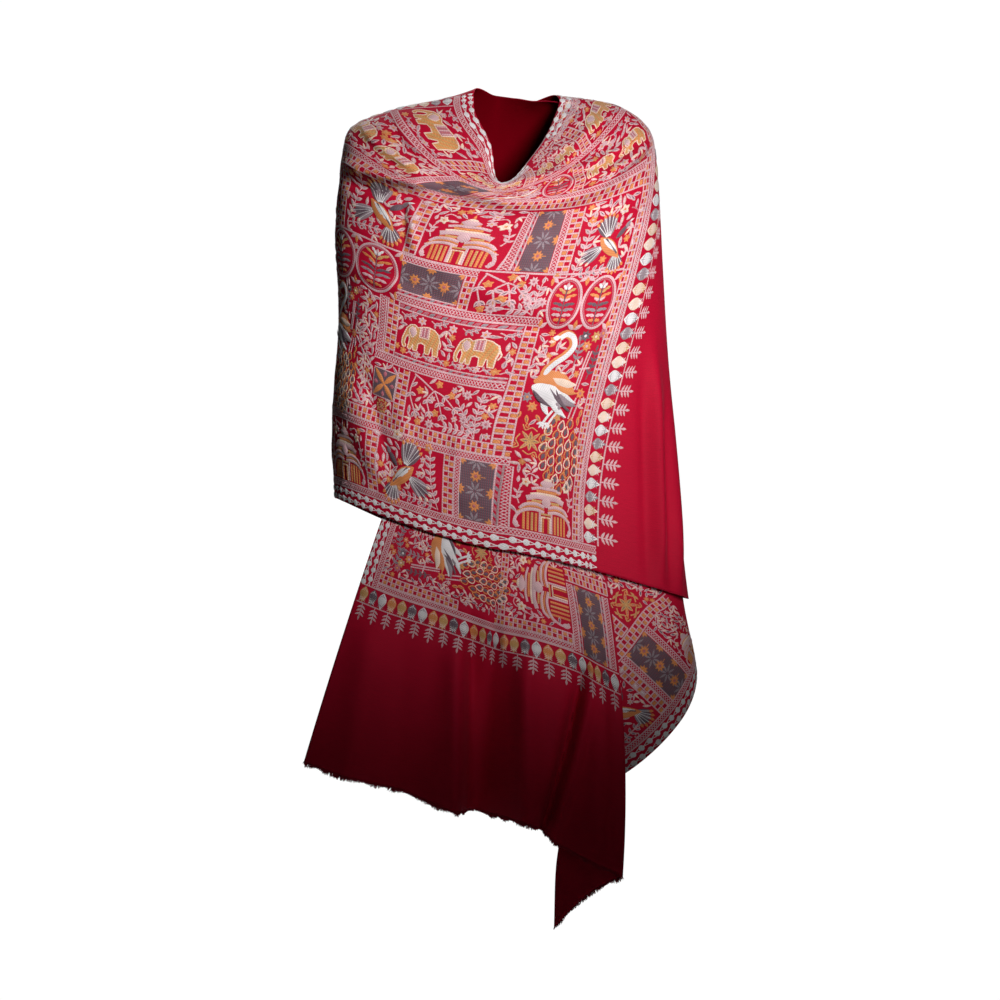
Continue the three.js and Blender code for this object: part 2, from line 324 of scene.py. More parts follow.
def lift_behind(point: Array, folds: tuple[Crease, ...]) -> Array:
    """How far folds lift the cloth at points on the figure's back."""
    return sum(fold.lift(point[..., 0], point[..., 2]) for fold in folds) * ease(point[..., 1], 20, 60)


def pucker(along: Array, drop: Array) -> Array:
    """How far the stitches have drawn up the embroidered ground, in mm.

    Args:
        along: mm from the fringe of end A.
        drop: mm down from the upper selvedge.

    Returns:
        The lift in mm.
    """
    waves = np.sin(along / 9.1 + np.sin(drop / 31)) * np.sin(drop / 10.7 + 1.4 * np.sin(along / 43))
    waves = waves + 0.8 * np.sin(along / 17.3 - drop / 23.9) * np.sin(drop / 15.1 + along / 61)
    return PUCKER * waves * ease(along, 240, 300)


def outer_point(along: Array, drop: Array) -> Array:
    """A point of the outer layer.

    Args:
        along: mm from the fringe of end A.
        drop: mm down from the upper selvedge.

    Returns:
        Points in mm.
    """
    lean = np.clip(1 - np.asarray(drop, dtype=float) / STOLE_WIDTH, 0, None) ** LEAN_POWER
    hem, neck = OUTER_LINES.at(along, "hem"), OUTER_LINES.at(along, "neck")
    sunk = NECK_SUNK * (1 - ease(drop, 0, 90)) * (1 - ease(along, 300, 400))
    point = ring_point(hem + (neck - hem) * lean, drop + sunk)
    lift = sum(fold.lift(point[..., 0], point[..., 2]) for fold in LARGEST_FOLDS + FINER_FOLDS)
    lift = lift * (1 - ease(point[..., 1], -60, 10)) + pucker(along, drop) + lift_behind(point, END_A_FOLDS)
    front = 1 - ease(point[..., 1], -40, 0)
    x, z = point[..., 0], point[..., 2]
    aside, sag = LIP_ASIDE.reach(x, z) * front, LIP_SAG.reach(x, z) * front
    moved = joined(aside, np.zeros_like(sag), -sag)
    return pushed_out(point, lift) + moved


def inner_point(turn: Array, down: Array) -> Array:
    """A point of the plain middle and the side.

    Args:
        turn: degrees round the figure, counted on past the back.
        down: from 0 at its top to 1 at its lower edge.

    Returns:
        Points in mm.
    """
    top = INNER_LINES.at(turn, "top")
    drop = top + np.asarray(down) * (INNER_LINES.at(turn, "bottom") - top)
    point = ring_point(turn, drop, INNER_LINES.at(turn, "inset"))
    point[..., 2] += INNER_LINES.at(turn, "rise") * (1 - ease(drop, 0, 110))
    return pushed_out(point, lift_behind(point, BACK_FOLDS))


def under_point(across: Array, drop: Array) -> Array:
    """A point of the hidden top of end B.

    Args:
        across: from 0 at its selvedge to 1 at the tuck.
        drop: mm down from the neck.

    Returns:
        Points in mm.
    """
    tuck = ring_point(TUCK_TURN, drop, UNDER_LAYER)[..., 0]
    heart = ring_point(0.0, drop, UNDER_LAYER)[..., 2]
    edge = UNDER_EDGE + UNDER_FLARE * ease(drop, 0, CHEST_DROP) * (heart - HEART_LEVEL)
    x = edge + (tuck - edge) * across
    side = ring_point(np.where(x < 0, -90.0, 90.0), drop, UNDER_LAYER)[..., 0]
    part = np.clip(np.abs(x / side), 0, 1) ** (1 / RINGS.at(drop, "pull"))
    return ring_point(np.degrees(np.arcsin(part)) * np.sign(x), drop, UNDER_LAYER)


def hanging_point(across: Array, level: Array) -> Array:
    """A point of end B.

    Args:
        across: from 0 at its free selvedge to 1 at the tuck.
        level: mm down from the neck under the outer layer, and then on down the hanging end.

    Returns:
        Points in mm.
    """
    across, level = np.broadcast_arrays(np.asarray(across, float), np.asarray(level, float))
    top = under_point(across, np.minimum(level, STOLE_WIDTH))
    f = np.clip((level - STOLE_WIDTH) / HANGING_FALL, 0, None)[..., None]
    low = np.stack([HANGING_FLUTES.at(across, c) for c in ("x", "y", "z")], axis=-1)
    mid_x, mid_y = (HANGING_FLUTES.at(across, c) for c in ("mid_x", "mid_y"))
    middle = joined(mid_x, mid_y, (top[..., 2] + low[..., 2]) / 2)
    fall = top * (1 - f) * (1 - 2 * f) + middle * 4 * f * (1 - f) + low * f * (2 * f - 1)
    lift = sum(fold.lift(fall[..., 0], fall[..., 2]) for fold in HANGING_FOLDS)
    fall[..., 1] -= lift * ease(level, STOLE_WIDTH + 10, STOLE_WIDTH + 60)
    return np.where(f > 0, fall, top)


def end_point(across: Array, down: Array) -> Array:
    """A point of end B, whose weft slants up toward the free selvedge.

    Args:
        across: mm from its free selvedge.
        down: mm down from the neck, and then on down the hanging end.

    Returns:
        Points in mm.
    """
    slant = WEFT_SLANT - WEFT_SLANT_LOST * np.asarray(across, float) / END_WIDTH
    return hanging_point(
        across / END_WIDTH, down - slant * ease(down, 480, 640) * (1 - ease(down, 860, END_LENGTH))
    )


def turned_point(across: Array, down: Array) -> Array:
    """A point of the turned corner.

    Args:
        across: from 0 at the turned edge to 1 at the free selvedge.
        down: from 0 at its top to 1 at its fringe.

    Returns:
        Points in mm.
    """
    across, down = np.broadcast_arrays(np.asarray(across, float), np.asarray(down, float))
    fold_x, fold_z = TURNED_ROWS.at(down, "fold_x"), TURNED_ROWS.at(down, "fold_z")
    x = fold_x + (TURNED_ROWS.at(down, "edge_x") - fold_x) * across
    z = fold_z + (TURNED_ROWS.at(down, "edge_z") - fold_z) * across
    z = z + TURNED_ROWS.at(down, "lift") * 4 * across * (1 - across)
    y = CORNER_DEPTH + CORNER_GAP + TURNED_ROWS.at(down, "behind") * ease(across, 0, 0.5)
    return joined(x, y, z)


# -------- cloth as a grid of points


class ClothGrid:
    """A stretch of cloth as a grid of points on its middle surface, in mm."""

    def __init__(
        self, point: Callable[[Array, Array], Array], first: Array, second: Array, half: float = 0.6
    ) -> None:
        """Works out the points of the middle surface and the way out at each of them.

        Args:
            point: gives points in mm for two arrays of flat coordinates.
            first: the columns' flat coordinates.
            second: the rows' flat coordinates.
            half: half the cloth's thickness in mm; each face lies that far from the middle.
        """
        self.first, self.second, self.half = first, second, half
        u, v = np.meshgrid(first, second, indexing="ij")
        middle = point(u, v)
        step_u, step_v = (first[-1] - first[0]) / 2000, (second[-1] - second[0]) / 2000
        along_u = point(u + step_u, v) - point(u - step_u, v)
        along_v = point(u, v + step_v) - point(u, v - step_v)
        normal = np.cross(along_u, along_v)
        self.turned = float(np.sum(normal[..., :2] * middle[..., :2])) < 0
        normal = -normal if self.turned else normal
        self.normal = normal / (np.linalg.norm(normal, axis=-1, keepdims=True) + 1e-9)
        self.middle = middle

    def place(self, u: Array, v: Array, height: Array) -> Array:
        """Puts flat points on the cloth.

        Args:
            u: flat coordinates along the columns.
            v: flat coordinates along the rows.
            height: how far each point stands off the outer face, in mm.

        Returns:
            Points in metres.
        """
        i = np.interp(u, self.first, np.arange(len(self.first)))
        j = np.interp(v, self.second, np.arange(len(self.second)))
        i0 = np.clip(i.astype(int), 0, len(self.first) - 2)
        j0 = np.clip(j.astype(int), 0, len(self.second) - 2)
        fi, fj = (i - i0)[..., None], (j - j0)[..., None]
        offset = (self.half + np.asarray(height))[..., None]
        total = 0.0
        for di, dj in ((0, 0), (0, 1), (1, 0), (1, 1)):
            weight = (fi if di else 1 - fi) * (fj if dj else 1 - fj)
            total = total + weight * (self.middle[i0 + di, j0 + dj] + self.normal[i0 + di, j0 + dj] * offset)
        return total * MM


def make_mesh(name: str, points: Array, faces: Array | list[list[int]], maps: Array | None = None) -> Object:
    """Makes an object from points and faces, smooth shaded.

    Args:
        name: the piece's name.
        points: its points in metres.
        faces: rows of three or four point numbers.
        maps: flat coordinates for each point, kept as a map on the mesh.

    Returns:
        The object, linked to the scene.
    """
    mesh = bpy.data.meshes.new(name)
    rows = faces.tolist() if isinstance(faces, Array) else faces
    mesh.from_pydata(points.tolist(), [], rows)
    mesh.polygons.foreach_set("use_smooth", np.ones(len(mesh.polygons), dtype=bool))
    if maps is not None:
        layer = mesh.uv_layers.new(name="Cloth")
        loops = np.empty(len(mesh.loops), dtype=np.int64)
        mesh.loops.foreach_get("vertex_index", loops)
        layer.data.foreach_set("uv", maps[loops].astype(np.float32).ravel())
    mesh.update()
    piece = bpy.data.objects.new(name, mesh)
    bpy.context.scene.collection.objects.link(piece)
    return piece


def shell(name: str, cloth: ClothGrid, finishes: "Finishes", flat_u: float, flat_v: float) -> Object:
    """Makes the closed shell of a stretch of cloth.

    Args:
        name: the piece's name.
        cloth: its grid.
        finishes: for the wool of its outer face, and for the darker crimson of its inner face, which is
            painted shade.
        flat_u: metres of cloth to one unit of the columns' coordinate.
        flat_v: metres of cloth to one unit of the rows' coordinate.

    Returns:
        The object.
    """
    n, m = len(cloth.first), len(cloth.second)
    out = (cloth.middle + cloth.normal * cloth.half).reshape(-1, 3)
    inside = (cloth.middle - cloth.normal * cloth.half).reshape(-1, 3)
    number = np.arange(n * m).reshape(n, m)
    a, b, c, d = number[:-1, :-1], number[1:, :-1], number[1:, 1:], number[:-1, 1:]
    quads = joined(a, b, c, d).reshape(-1, 4)
    faces = [quads, quads[:, ::-1] + n * m]
    ring = np.concatenate([number[:, 0], number[-1, 1:], number[-2::-1, -1], number[0, -2:0:-1]])
    after = np.roll(ring, -1)
    faces.append(joined(after, ring, ring + n * m, after + n * m))
    faces = [rows[:, ::-1] for rows in faces] if cloth.turned else faces
    u, v = np.meshgrid(cloth.first * flat_u, cloth.second * flat_v, indexing="ij")
    flat = joined(u.ravel(), v.ravel())
    piece = make_mesh(
        name, np.concatenate([out, inside]) * MM, np.concatenate(faces), np.concatenate([flat, flat])
    )
    piece.data.materials.append(finishes.wool)
    piece.data.materials.append(finishes.inside_painted_shade)
    # Inner faces take the second material, the darker crimson that is painted shade.
    sides = np.repeat([0, 1, 0], [len(quads), len(quads), len(ring)])
    piece.data.polygons.foreach_set("material_index", sides.astype(np.int32))
    return piece


# -------- threads and stitches


class Thread(Enum):
    """The colours of embroidery yarn, as linear red, green and blue."""

    PINK = (0.69, 0.42, 0.45)
    ROSE = (0.50, 0.13, 0.17)
    SILVER = (0.80, 0.75, 0.76)
    SLATE = (0.130, 0.078, 0.100)
    ASH = (0.30, 0.22, 0.25)
    ORANGE = (0.72, 0.24, 0.07)
    OCHRE = (0.62, 0.32, 0.11)
    CREAM = (0.84, 0.62, 0.50)


PINK, ROSE, SILVER, SLATE, ASH, ORANGE, OCHRE, CREAM = Thread
Points = list[Pair]
STITCH_STEP = 2.6
RISE = 0.55


def smooth_line(points: Points, step: float) -> Array:
    """Rounds a line through its points.

    Args:
        points: the points it passes, in mm.
        step: how far apart the new points may be.

    Returns:
        Points along the rounded line.
    """
    p = np.array(points, dtype=float)
    if len(p) < 3:
        return even_line(p, step)
    ends = np.concatenate([[2 * p[0] - p[1]], p, [2 * p[-1] - p[-2]]])
    out = []
    for k in range(1, len(ends) - 2):
        a, b, c, d = ends[k - 1 : k + 3]
        n = max(2, int(np.linalg.norm(c - b) / step) + 1)
        f = np.linspace(0, 1, n, endpoint=False)[:, None]
        out.append(
            0.5 * (2 * b + (c - a) * f + (2 * a - 5 * b + 4 * c - d) * f**2 + (3 * b - a - 3 * c + d) * f**3)
        )
    return np.concatenate(out + [p[-1:]])


def heading(turn: float) -> Pair:
    """The cosine and the sine of turn degrees."""
    return math.cos(math.radians(turn)), math.sin(math.radians(turn))


def run_along(line: Array) -> Array:
    """How far each point of a line is from its start, along it."""
    return np.concatenate([[0], np.cumsum(np.linalg.norm(np.diff(line, axis=0), axis=1))])


def even_line(points: Array, step: float) -> Array:
    """Adds points to a straight-sided line so that none are further apart than step.

    Args:
        points: the line's corners.
        step: the greatest gap, in mm.

    Returns:
        Points along the line.
    """
    p = np.asarray(points, dtype=float)
    out = [p[:1]]
    for a, b in zip(p[:-1], p[1:]):
        n = max(1, math.ceil(float(np.linalg.norm(b - a)) / step))
        out.append(a + (b - a) * (np.arange(1, n + 1) / n)[:, None])
    return np.concatenate(out)


class Embroidery:
    """The stitches of one stretch of cloth, kept flat until they are put on it."""

    def __init__(self) -> None:
        """Starts with no stitches."""
        self.points: dict[Thread, list[Array]] = {thread: [] for thread in Thread}
        self.faces: dict[Thread, list[Array]] = {thread: [] for thread in Thread}
        self.count: dict[Thread, int] = {thread: 0 for thread in Thread}

    def strip(self, line: Array, widths: Array, thread: Thread, rise: float, base: float = 0.0) -> None:
        """Lays a rounded strip of stitches.

        Args:
            line: its middle, as flat points.
            widths: its width at each of them, in mm.
            thread: its colour.
            rise: how far its middle stands off the cloth, in mm.
            base: how far its edges do.
        """
        n = len(line)
        if n < 2:
            return
        ahead = np.gradient(line, axis=0)
        ahead /= np.linalg.norm(ahead, axis=1, keepdims=True) + 1e-9
        side = joined(-ahead[:, 1], ahead[:, 0])
        across = np.array([-1.0, 0.0, 1.0]) if widths.max() < 4.2 else np.array([-1.0, -0.6, 0.0, 0.6, 1.0])
        spread = across[None, :] * widths[:, None] / 2
        flat = line[:, None, :] + side[:, None, :] * spread[..., None]
        narrow = np.clip(widths / (widths.max() + 1e-9), 0.25, 1)
        height = base + rise * narrow[:, None] * np.sqrt(np.clip(1 - across**2, 0, 1))[None, :]
        along = run_along(line)
        run = np.repeat(along[:, None], len(across), axis=1)
        rows = joined(flat[..., 0], flat[..., 1], height, run, spread).reshape(-1, 5)
        number = np.arange(n * len(across)).reshape(n, -1)
        quads = joined(number[:-1, :-1], number[1:, :-1], number[1:, 1:], number[:-1, 1:]).reshape(-1, 4)
        self.faces[thread].append(quads + self.count[thread])
        self.points[thread].append(rows)
        self.count[thread] += len(rows)

    def fill_ground(
        self, area: tuple[float, float, float, float], gap: float, clear: float, start: int,
        beside: tuple["Embroidery", ...] = (),
    ) -> None:
        """Strews small leaves and buds over the ground that is still bare.

        Args:
            area: least and greatest along, least and greatest down, in mm.
            gap: how far apart they are tried.
            clear: how much bare ground each needs round its middle.
            start: start of the random numbers.
            beside: other stitches on the same ground.
        """
        rng = np.random.default_rng(start)
        cell = 2.0
        used = np.concatenate(
            [rows for book in (self, *beside) for t in Thread for rows in book.points[t]]
        )[:, :2]
        size = (int((area[1] - area[0]) / cell) + 3, int((area[3] - area[2]) / cell) + 3)
        taken = np.zeros(size, dtype=bool)
        places = ((used - (area[0], area[2])) / cell).round().astype(int)
        inside = (places >= 0).all(axis=1) & (places < size).all(axis=1)
        taken[places[inside, 0], places[inside, 1]] = True
        reach = int(clear / cell)
        steps = range(-reach, reach + 1)
        spread = [(i, j) for i in steps for j in steps if i * i + j * j <= reach**2]
        for u in np.arange(area[0] + clear, area[1] - clear, gap):
            for v in np.arange(area[2] + clear, area[3] - clear, gap):
                i, j = int((u - area[0]) / cell), int((v - area[2]) / cell)
                if any(taken[i + a, j + b] for a, b in spread):
                    continue
                pen = Pen(self, (u, v)).moved(0, 0, turn=float(rng.integers(0, 8)) * 45)
                kind, long = rng.integers(0, 6), clear * rng.uniform(1.0, 1.25)
                if kind == 0:
                    pen.flower(0, 0, clear * 0.9, 6, PINK if rng.random() < 0.6 else ORANGE, OCHRE)
                elif kind < 4:
                    edge, heart = PINK, (ASH, SLATE, CREAM)[kind - 1]
                    pen.bud(-long, 0, 0, 2 * long, clear * 0.8, edge, heart)
                else:
                    for turn in (-50, 0, 50):
                        pen.leaf(-long * 0.7, 0, turn, long * 1.7, clear * 0.55, PINK if turn else CREAM)
                for a, b in spread:
                    taken[i + a, j + b] = True

    def sew(self, name: str, cloth: ClothGrid, finishes: dict[Thread, Material]) -> Object:
        """Puts the stitches on a stretch of cloth, as one piece.

        Args:
            name: the piece's name.
            cloth: the cloth they go on.
            finishes: a material for each colour of thread.

        Returns:
            The object.
        """
        used = [thread for thread in Thread if self.points[thread]]
        rows = np.concatenate([np.concatenate(self.points[thread]) for thread in used])
        starts = np.cumsum([0] + [self.count[thread] for thread in used])
        faces = np.concatenate([np.concatenate(self.faces[t]) + start for t, start in zip(used, starts)])
        slots = np.concatenate([np.full(sum(len(f) for f in self.faces[t]), k) for k, t in enumerate(used)])
        points = cloth.place(rows[:, 0], rows[:, 1], rows[:, 2])
        out = cloth.place(rows[:, 0], rows[:, 1], rows[:, 2] + 1) - points
        a, b, c, d = (points[faces[:, k]] for k in range(4))
        facing = np.sum(np.cross(c - a, d - b) * out[faces[:, 0]], axis=1) < 0
        faces[facing] = faces[facing][:, ::-1]
        piece = make_mesh(name, points, faces, rows[:, 3:5] * MM)
        for thread in used:
            piece.data.materials.append(finishes[thread])
        piece.data.polygons.foreach_set("material_index", slots.astype(np.int32))
        return piece


@dataclass(frozen=True)
class Pen:
    """Draws stitches in a patch's own coordinates, x to the right and y up, in mm.

    The patch's origin and its two directions are flat coordinates of the cloth.
    """

    book: Embroidery
    origin: Pair
    right: Pair = NEARER
    up: Pair = UP
    size: float = 1.0
    base: float = 0.12

    def flat(self, points: Array) -> Array:
        """Turns a patch's points into the cloth's flat coordinates."""
        p = np.asarray(points, dtype=float)
        return np.array(self.origin) + p[:, :1] * np.array(self.right) + p[:, 1:2] * np.array(self.up)

    def moved(
        self, x: float, y: float, turn: float = 0.0, size: float = 1.0, mirror: bool = False,
        lift: float = 0.0
    ) -> "Pen":
        """A pen for a part of the patch.

        Args:
            x, y: where its origin is.
            turn: degrees it is turned to the left.
            size: how much larger it draws.
            mirror: whether its x goes left.
            lift: how much higher its stitches stand, in mm.

        Returns:
            The new pen.
        """
        right, up = np.array(self.right), np.array(self.up)
        origin = np.array(self.origin) + right * x + up * y
        c, s = heading(turn)
        new_right = (right * c + up * s) * size * (-1 if mirror else 1)
        new_up = (up * c - right * s) * size
        return Pen(
            self.book, tuple(origin), tuple(new_right), tuple(new_up), self.size * size, self.base + lift
        )

    def lay(self, line: Array, width: Array | float, thread: Thread, rise: float) -> None:
        """Lays a strip of stitches along a line of the patch, its middle rise mm off the cloth."""
        self.book.strip(self.flat(line), width + np.zeros(len(line)), thread, rise, self.base)

    def raised(self, lift: float) -> "Pen":
        """The same pen, its stitches lift mm higher."""
        return replace(self, base=self.base + lift)

    def line(self, points: Points, thread: Thread, width: float = 1.7) -> None:
        """A rounded line of chain stitch through points."""
        p = smooth_line(points, STITCH_STEP / self.size)
        self.lay(p, width, thread, RISE)

    def rule(self, points: Points, thread: Thread, width: float = 1.7, rise: float = RISE) -> None:
        """A line of chain stitch with straight sides, its middle rise mm off the cloth."""
        p = even_line(np.array(points, dtype=float), STITCH_STEP / self.size * 1.5)
        self.lay(p, width, thread, rise)

    def leaf(
        self, x: float, y: float, turn: float, long: float, wide: float, thread: Thread,
        bend: float = 0.0, belly: float = 0.85,
    ) -> None:
        """A filled leaf or petal from (x, y).

        Args:
            x, y: its foot.
            turn: the way it points, in degrees.
            long: its length in mm.
            wide: its width in mm.
            thread: its colour.
            bend: how far its middle is bent sideways.
            belly: over 1 puts its widest part nearer its tip.
        """
        c, s = heading(turn)
        f = np.linspace(0, 1, 7 if long * self.size > 9 else 5)
        away = bend * 4 * f * (1 - f)
        p = joined(x + c * long * f - s * away, y + s * long * f + c * away)
        widths = wide * self.size * np.clip(np.sin(math.pi * f**belly), 0.06, 1) ** 0.8
        self.lay(p, widths, thread, 0.35 + 0.05 * wide * self.size)

    def dot(self, x: float, y: float, radius: float, thread: Thread) -> None:
        """A round dot of stitches.

        Args:
            x, y: its middle.
            radius: its radius.
            thread: its colour.
        """
        f = np.linspace(-0.97, 0.97, 6)
        widths = 2 * radius * self.size * np.sqrt(1 - f**2)
        self.lay(joined(x + f * radius, np.full(6, y)), widths, thread, 0.7)

    def ring(
        self, x: float, y: float, radius: float, thread: Thread, width: float = 1.7, tall: float = 1.0
    ) -> None:
        """A circle of chain stitch, or an oval with tall over 1.

        Args:
            x, y: its middle.
            radius: its radius sideways.
            thread: its colour.
            width: the stitches' width in mm.
            tall: how much taller it is than wide.
        """
        n = max(10, int(radius * self.size * 6.3 / 3.2))
        a = np.linspace(0, 2 * math.pi, n + 1)
        self.lay(joined(x + radius * np.cos(a), y + radius * tall * np.sin(a)), width, thread, 0.6)

    def fill(
        self, outline: Points, thread: Thread, turn: float = 90.0, gap: float = 1.9, full: float = 1.12,
        third: Thread | None = None,
    ) -> None:
        """Fills an outline with rows of stitches.

        Args:
            outline: the outline's corners.
            thread: the rows' colour.
            turn: the angle they lie at.
            gap: how far apart they are, in mm.
            full: how wide they are, in gaps.
            third: another colour for every third row.
        """
        gap = gap / self.size
        c, s = heading(turn)
        p = np.array(outline, dtype=float)
        run, off = p[:, 0] * c + p[:, 1] * s, p[:, 1] * c - p[:, 0] * s
        for number, row in enumerate(np.arange(off.min() + gap / 2, off.max(), gap)):
            colour = third if third and number % 3 == 0 else thread
            after_run, after_off = np.roll(run, -1), np.roll(off, -1)
            cut = (off > row) != (after_off > row)
            f = (row - off[cut]) / (after_off[cut] - off[cut])
            places = np.sort(run[cut] + f * (after_run[cut] - run[cut]))
            for first, last in zip(places[::2], places[1::2]):
                if last - first > 0.8 / self.size:
                    ends = np.array(
                        [(first * c - row * s, first * s + row * c), (last * c - row * s, last * s + row * c)]
                    )
                    q = even_line(ends, 4.0 / self.size)
                    self.lay(q, gap * self.size * full, colour, 0.5)

    def bud(
        self, x: float, y: float, turn: float, long: float, wide: float, edge: Thread, heart: Thread
    ) -> None:
        """A leaf with an edge of one colour and a heart of another.

        Args:
            x, y: its foot.
            turn: the way it points, in degrees.
            long: its length.
            wide: its width.
            edge: the edge's colour.
            heart: the heart's colour.
        """
        self.leaf(x, y, turn, long, wide, edge)
        c, s = heading(turn)
        part = self.raised(0.25)
        part.leaf(x + 0.17 * long * c, y + 0.17 * long * s, turn, long * 0.66, wide * 0.6, heart)

    def flower(
        self, x: float, y: float, radius: float, petals: int, thread: Thread, heart: Thread,
        turns: Pair = (0, 360)
    ) -> None:
        """Petals round a heart, within an arc of turns.

        Args:
            x, y: its middle.
            radius: the petals' length.
            petals: how many there are.
            thread: their colour.
            heart: the heart's colour.
            turns: the arc they fill, in degrees.
        """
        for k in range(petals):
            turn = turns[0] + (turns[1] - turns[0]) * (k + 0.5) / petals
            self.leaf(
                x, y, turn, radius, radius * 1.15 * abs(turns[1] - turns[0]) / 360 * 3.2 / petals, thread
            )
        if turns[1] - turns[0] > 300:
            self.raised(0.3).dot(x, y, radius * 0.27, heart)

    def sprig(
        self, points: Points, leaf: float, thread: Thread, stem: Thread, gap: float,
        heart: Thread | None = None
    ) -> None:
        """A stem with pairs of leaves and one at its tip, from its foot to its tip.

        Args:
            points: the stem's line.
            leaf: the length of the leaves in mm.
            thread: their colour.
            stem: the stem's colour.
            gap: how far apart the pairs are.
            heart: a second colour in the leaves.
        """
        self.line(points, stem, 1.5)
        p = smooth_line(points, 2.0)
        along = run_along(p)
        for where in np.append(np.arange(gap, along[-1] - 0.3 * gap, gap), along[-1]):
            x, y = np.interp(where, along, p[:, 0]), np.interp(where, along, p[:, 1])
            x0, y0 = np.interp(where - 2, along, p[:, 0]), np.interp(where - 2, along, p[:, 1])
            way = math.degrees(math.atan2(y - y0, x - x0))
            for turn in (0.0,) if where == along[-1] else (-52.0, 52.0):
                if heart is None:
                    self.leaf(x, y, way + turn, leaf, leaf * 0.42, thread)
                else:
                    self.bud(x, y, way + turn, leaf, leaf * 0.5, thread, heart)

    def curl(self, x: float, y: float, radius: float, turn: float, thread: Thread, way: int = 1) -> None:
        """A stem that rolls up at its end.

        Args:
            x, y: its foot.
            radius: how wide it rolls.
            turn: the way its foot lies, in degrees.
            thread: its colour.
            way: 1 to roll to the left, -1 to the right.
        """
        f = np.linspace(0, 1, 9)
        a = math.radians(turn) + way * f * 2 * math.pi
        r = radius * (1 - 0.75 * f)
        c, s = heading(turn)
        points = [
            (x - radius * c + r0 * math.cos(a0), y - radius * s + r0 * math.sin(a0)) for r0, a0 in zip(r, a)
        ]
        self.line(points, thread, 1.5)

    def fan(self, x: float, y: float, turns: Pair, count: int, long: float, tip: Thread) -> None:
        """A fan of feathers from (x, y).

        Args:
            x, y: its foot.
            turns: the ways of its first and last feather, in degrees.
            count: how many there are.
            long: the length of the longest.
            tip: the tips' colour.
        """
        for k in range(count):
            f = k / (count - 1)
            turn = turns[0] + (turns[1] - turns[0]) * f
            reach = long * (0.82 + 0.18 * math.sin(math.pi * f))
            c, s = heading(turn)
            self.leaf(x + 4 * c, y + 4 * s, turn, reach, long * 0.21, SLATE if k % 3 else ASH)
            up = self.raised(0.45)
            up.rule([(x + 5 * c, y + 5 * s), (x + 0.95 * reach * c, y + 0.95 * reach * s)], SILVER, 1.1)
            up.leaf(x + 0.92 * reach * c, y + 0.92 * reach * s, turn, 6, 3.6, tip)


# -------- the patches of the design


class Part(Enum):
    """What a strip between patches is made of."""

    LADDER = "ladder"
    BRAID = "braid"
    CORD = "cord"
    LINE = "line"


LADDER, BRAID, CORD, LINE = Part


@dataclass(frozen=True)
class Strip:
    """A strip between patches, drawn along x from the pen's origin, its width along y."""

    part: Part
    width: float

    def draw(self, pen: Pen, length: float) -> None:
        """Draws length mm of it.

        Args:
            pen: the pen at its start.
            length: how long it is, in mm.
        """
        if self.part is LINE:
            pen.rule([(0, 0), (length, 0)], PINK, 2.6)
            return
        pitch = {LADDER: 7.4, BRAID: 8.8, CORD: 9.0}[self.part]
        n = max(1, round(length / pitch))
        step, wide = length / n, self.width
        for y in (0.0, wide):
            pen.rule([(0, y), (length, y)], PINK, 2.0)
        if self.part is LADDER:
            pen.rule([(0, wide / 2), (length, wide / 2)], PINK, 1.5)
            for k in range(n):
                x = k * step
                pen.rule([(x, 0), (x, wide)], PINK, 2.2)
                for row in (0, 1):
                    y = wide * (0.25 + 0.5 * row)
                    if (k + row) % 2:
                        pen.rule([(x + 1.4, y), (x + step - 1.4, y)], ORANGE, wide * 0.5 - 2.6)
        elif self.part is BRAID:
            for flip in (0, 1):
                zigzag = [(k * step / 2, wide * (0.16 + 0.68 * ((k + flip) % 2))) for k in range(2 * n + 1)]
                pen.rule(zigzag, PINK, 1.3, rise=0.4 + 0.2 * flip)
        else:
            for k in range(n):
                thread = ASH if k % 2 else ROSE
                pen.leaf(k * step, wide * 0.2, 24, step * 1.05, wide * 0.6, thread)


@dataclass(frozen=True)
class LeafBorder:
    """The border along an end: two lines with leaves between them and twigs outside, along x, outward +y."""

    leaves: float = 17.0
    twigs: float = 23.0
    tall: float = 37.0
    colours: tuple[tuple[Thread, Thread], ...] = (
        (SILVER, ASH), (CREAM, SILVER), (CREAM, OCHRE), (ASH, SILVER),
    )

    def draw(self, pen: Pen, length: float, shift: int = 0) -> None:
        """Draws a length of it.

        Args:
            pen: the pen at its start.
            length: how long it is, in mm.
            shift: how many leaves on the colours start.
        """
        for y in (0.0, self.tall):
            pen.rule([(0, y), (length, y)], PINK, 2.0)
        n = round(length / self.leaves)
        for k in range(n):
            x = (k + 0.5) * length / n
            edge, heart = self.colours[(k + shift) % len(self.colours)]
            pen.leaf(x, self.tall - 1.0, -90, self.tall - 3.5, 14.8, edge, belly=1.2)
            part = pen.raised(0.55)
            for side in (-1, 1):
                for y in (0.2, 0.31, 0.42, 0.53, 0.64, 0.75):
                    part.leaf(x, self.tall * y, 90 + side * 48, 7.6, 1.5, heart)
            part.rule([(x, 0.9 * self.tall), (x, 0.14 * self.tall)], heart, 1.0)
        n = round(length / self.twigs)
        for k in range(n):
            x = (k + 0.5) * length / n
            twig = pen.moved(x, self.tall)
            twig.rule([(0, 1), (0, 22)], PINK, 1.6)
            for y in (4.5, 10, 15.5):
                for side in (-1, 1):
                    twig.leaf(0, y, 90 + side * 58, 8.6, 3.2, PINK)
            twig.leaf(0, 19, 90, 8.0, 3.4, PINK)


END_LEAVES = ((SLATE, SILVER), (SILVER, ASH), (ORANGE, CREAM), (OCHRE, CREAM))


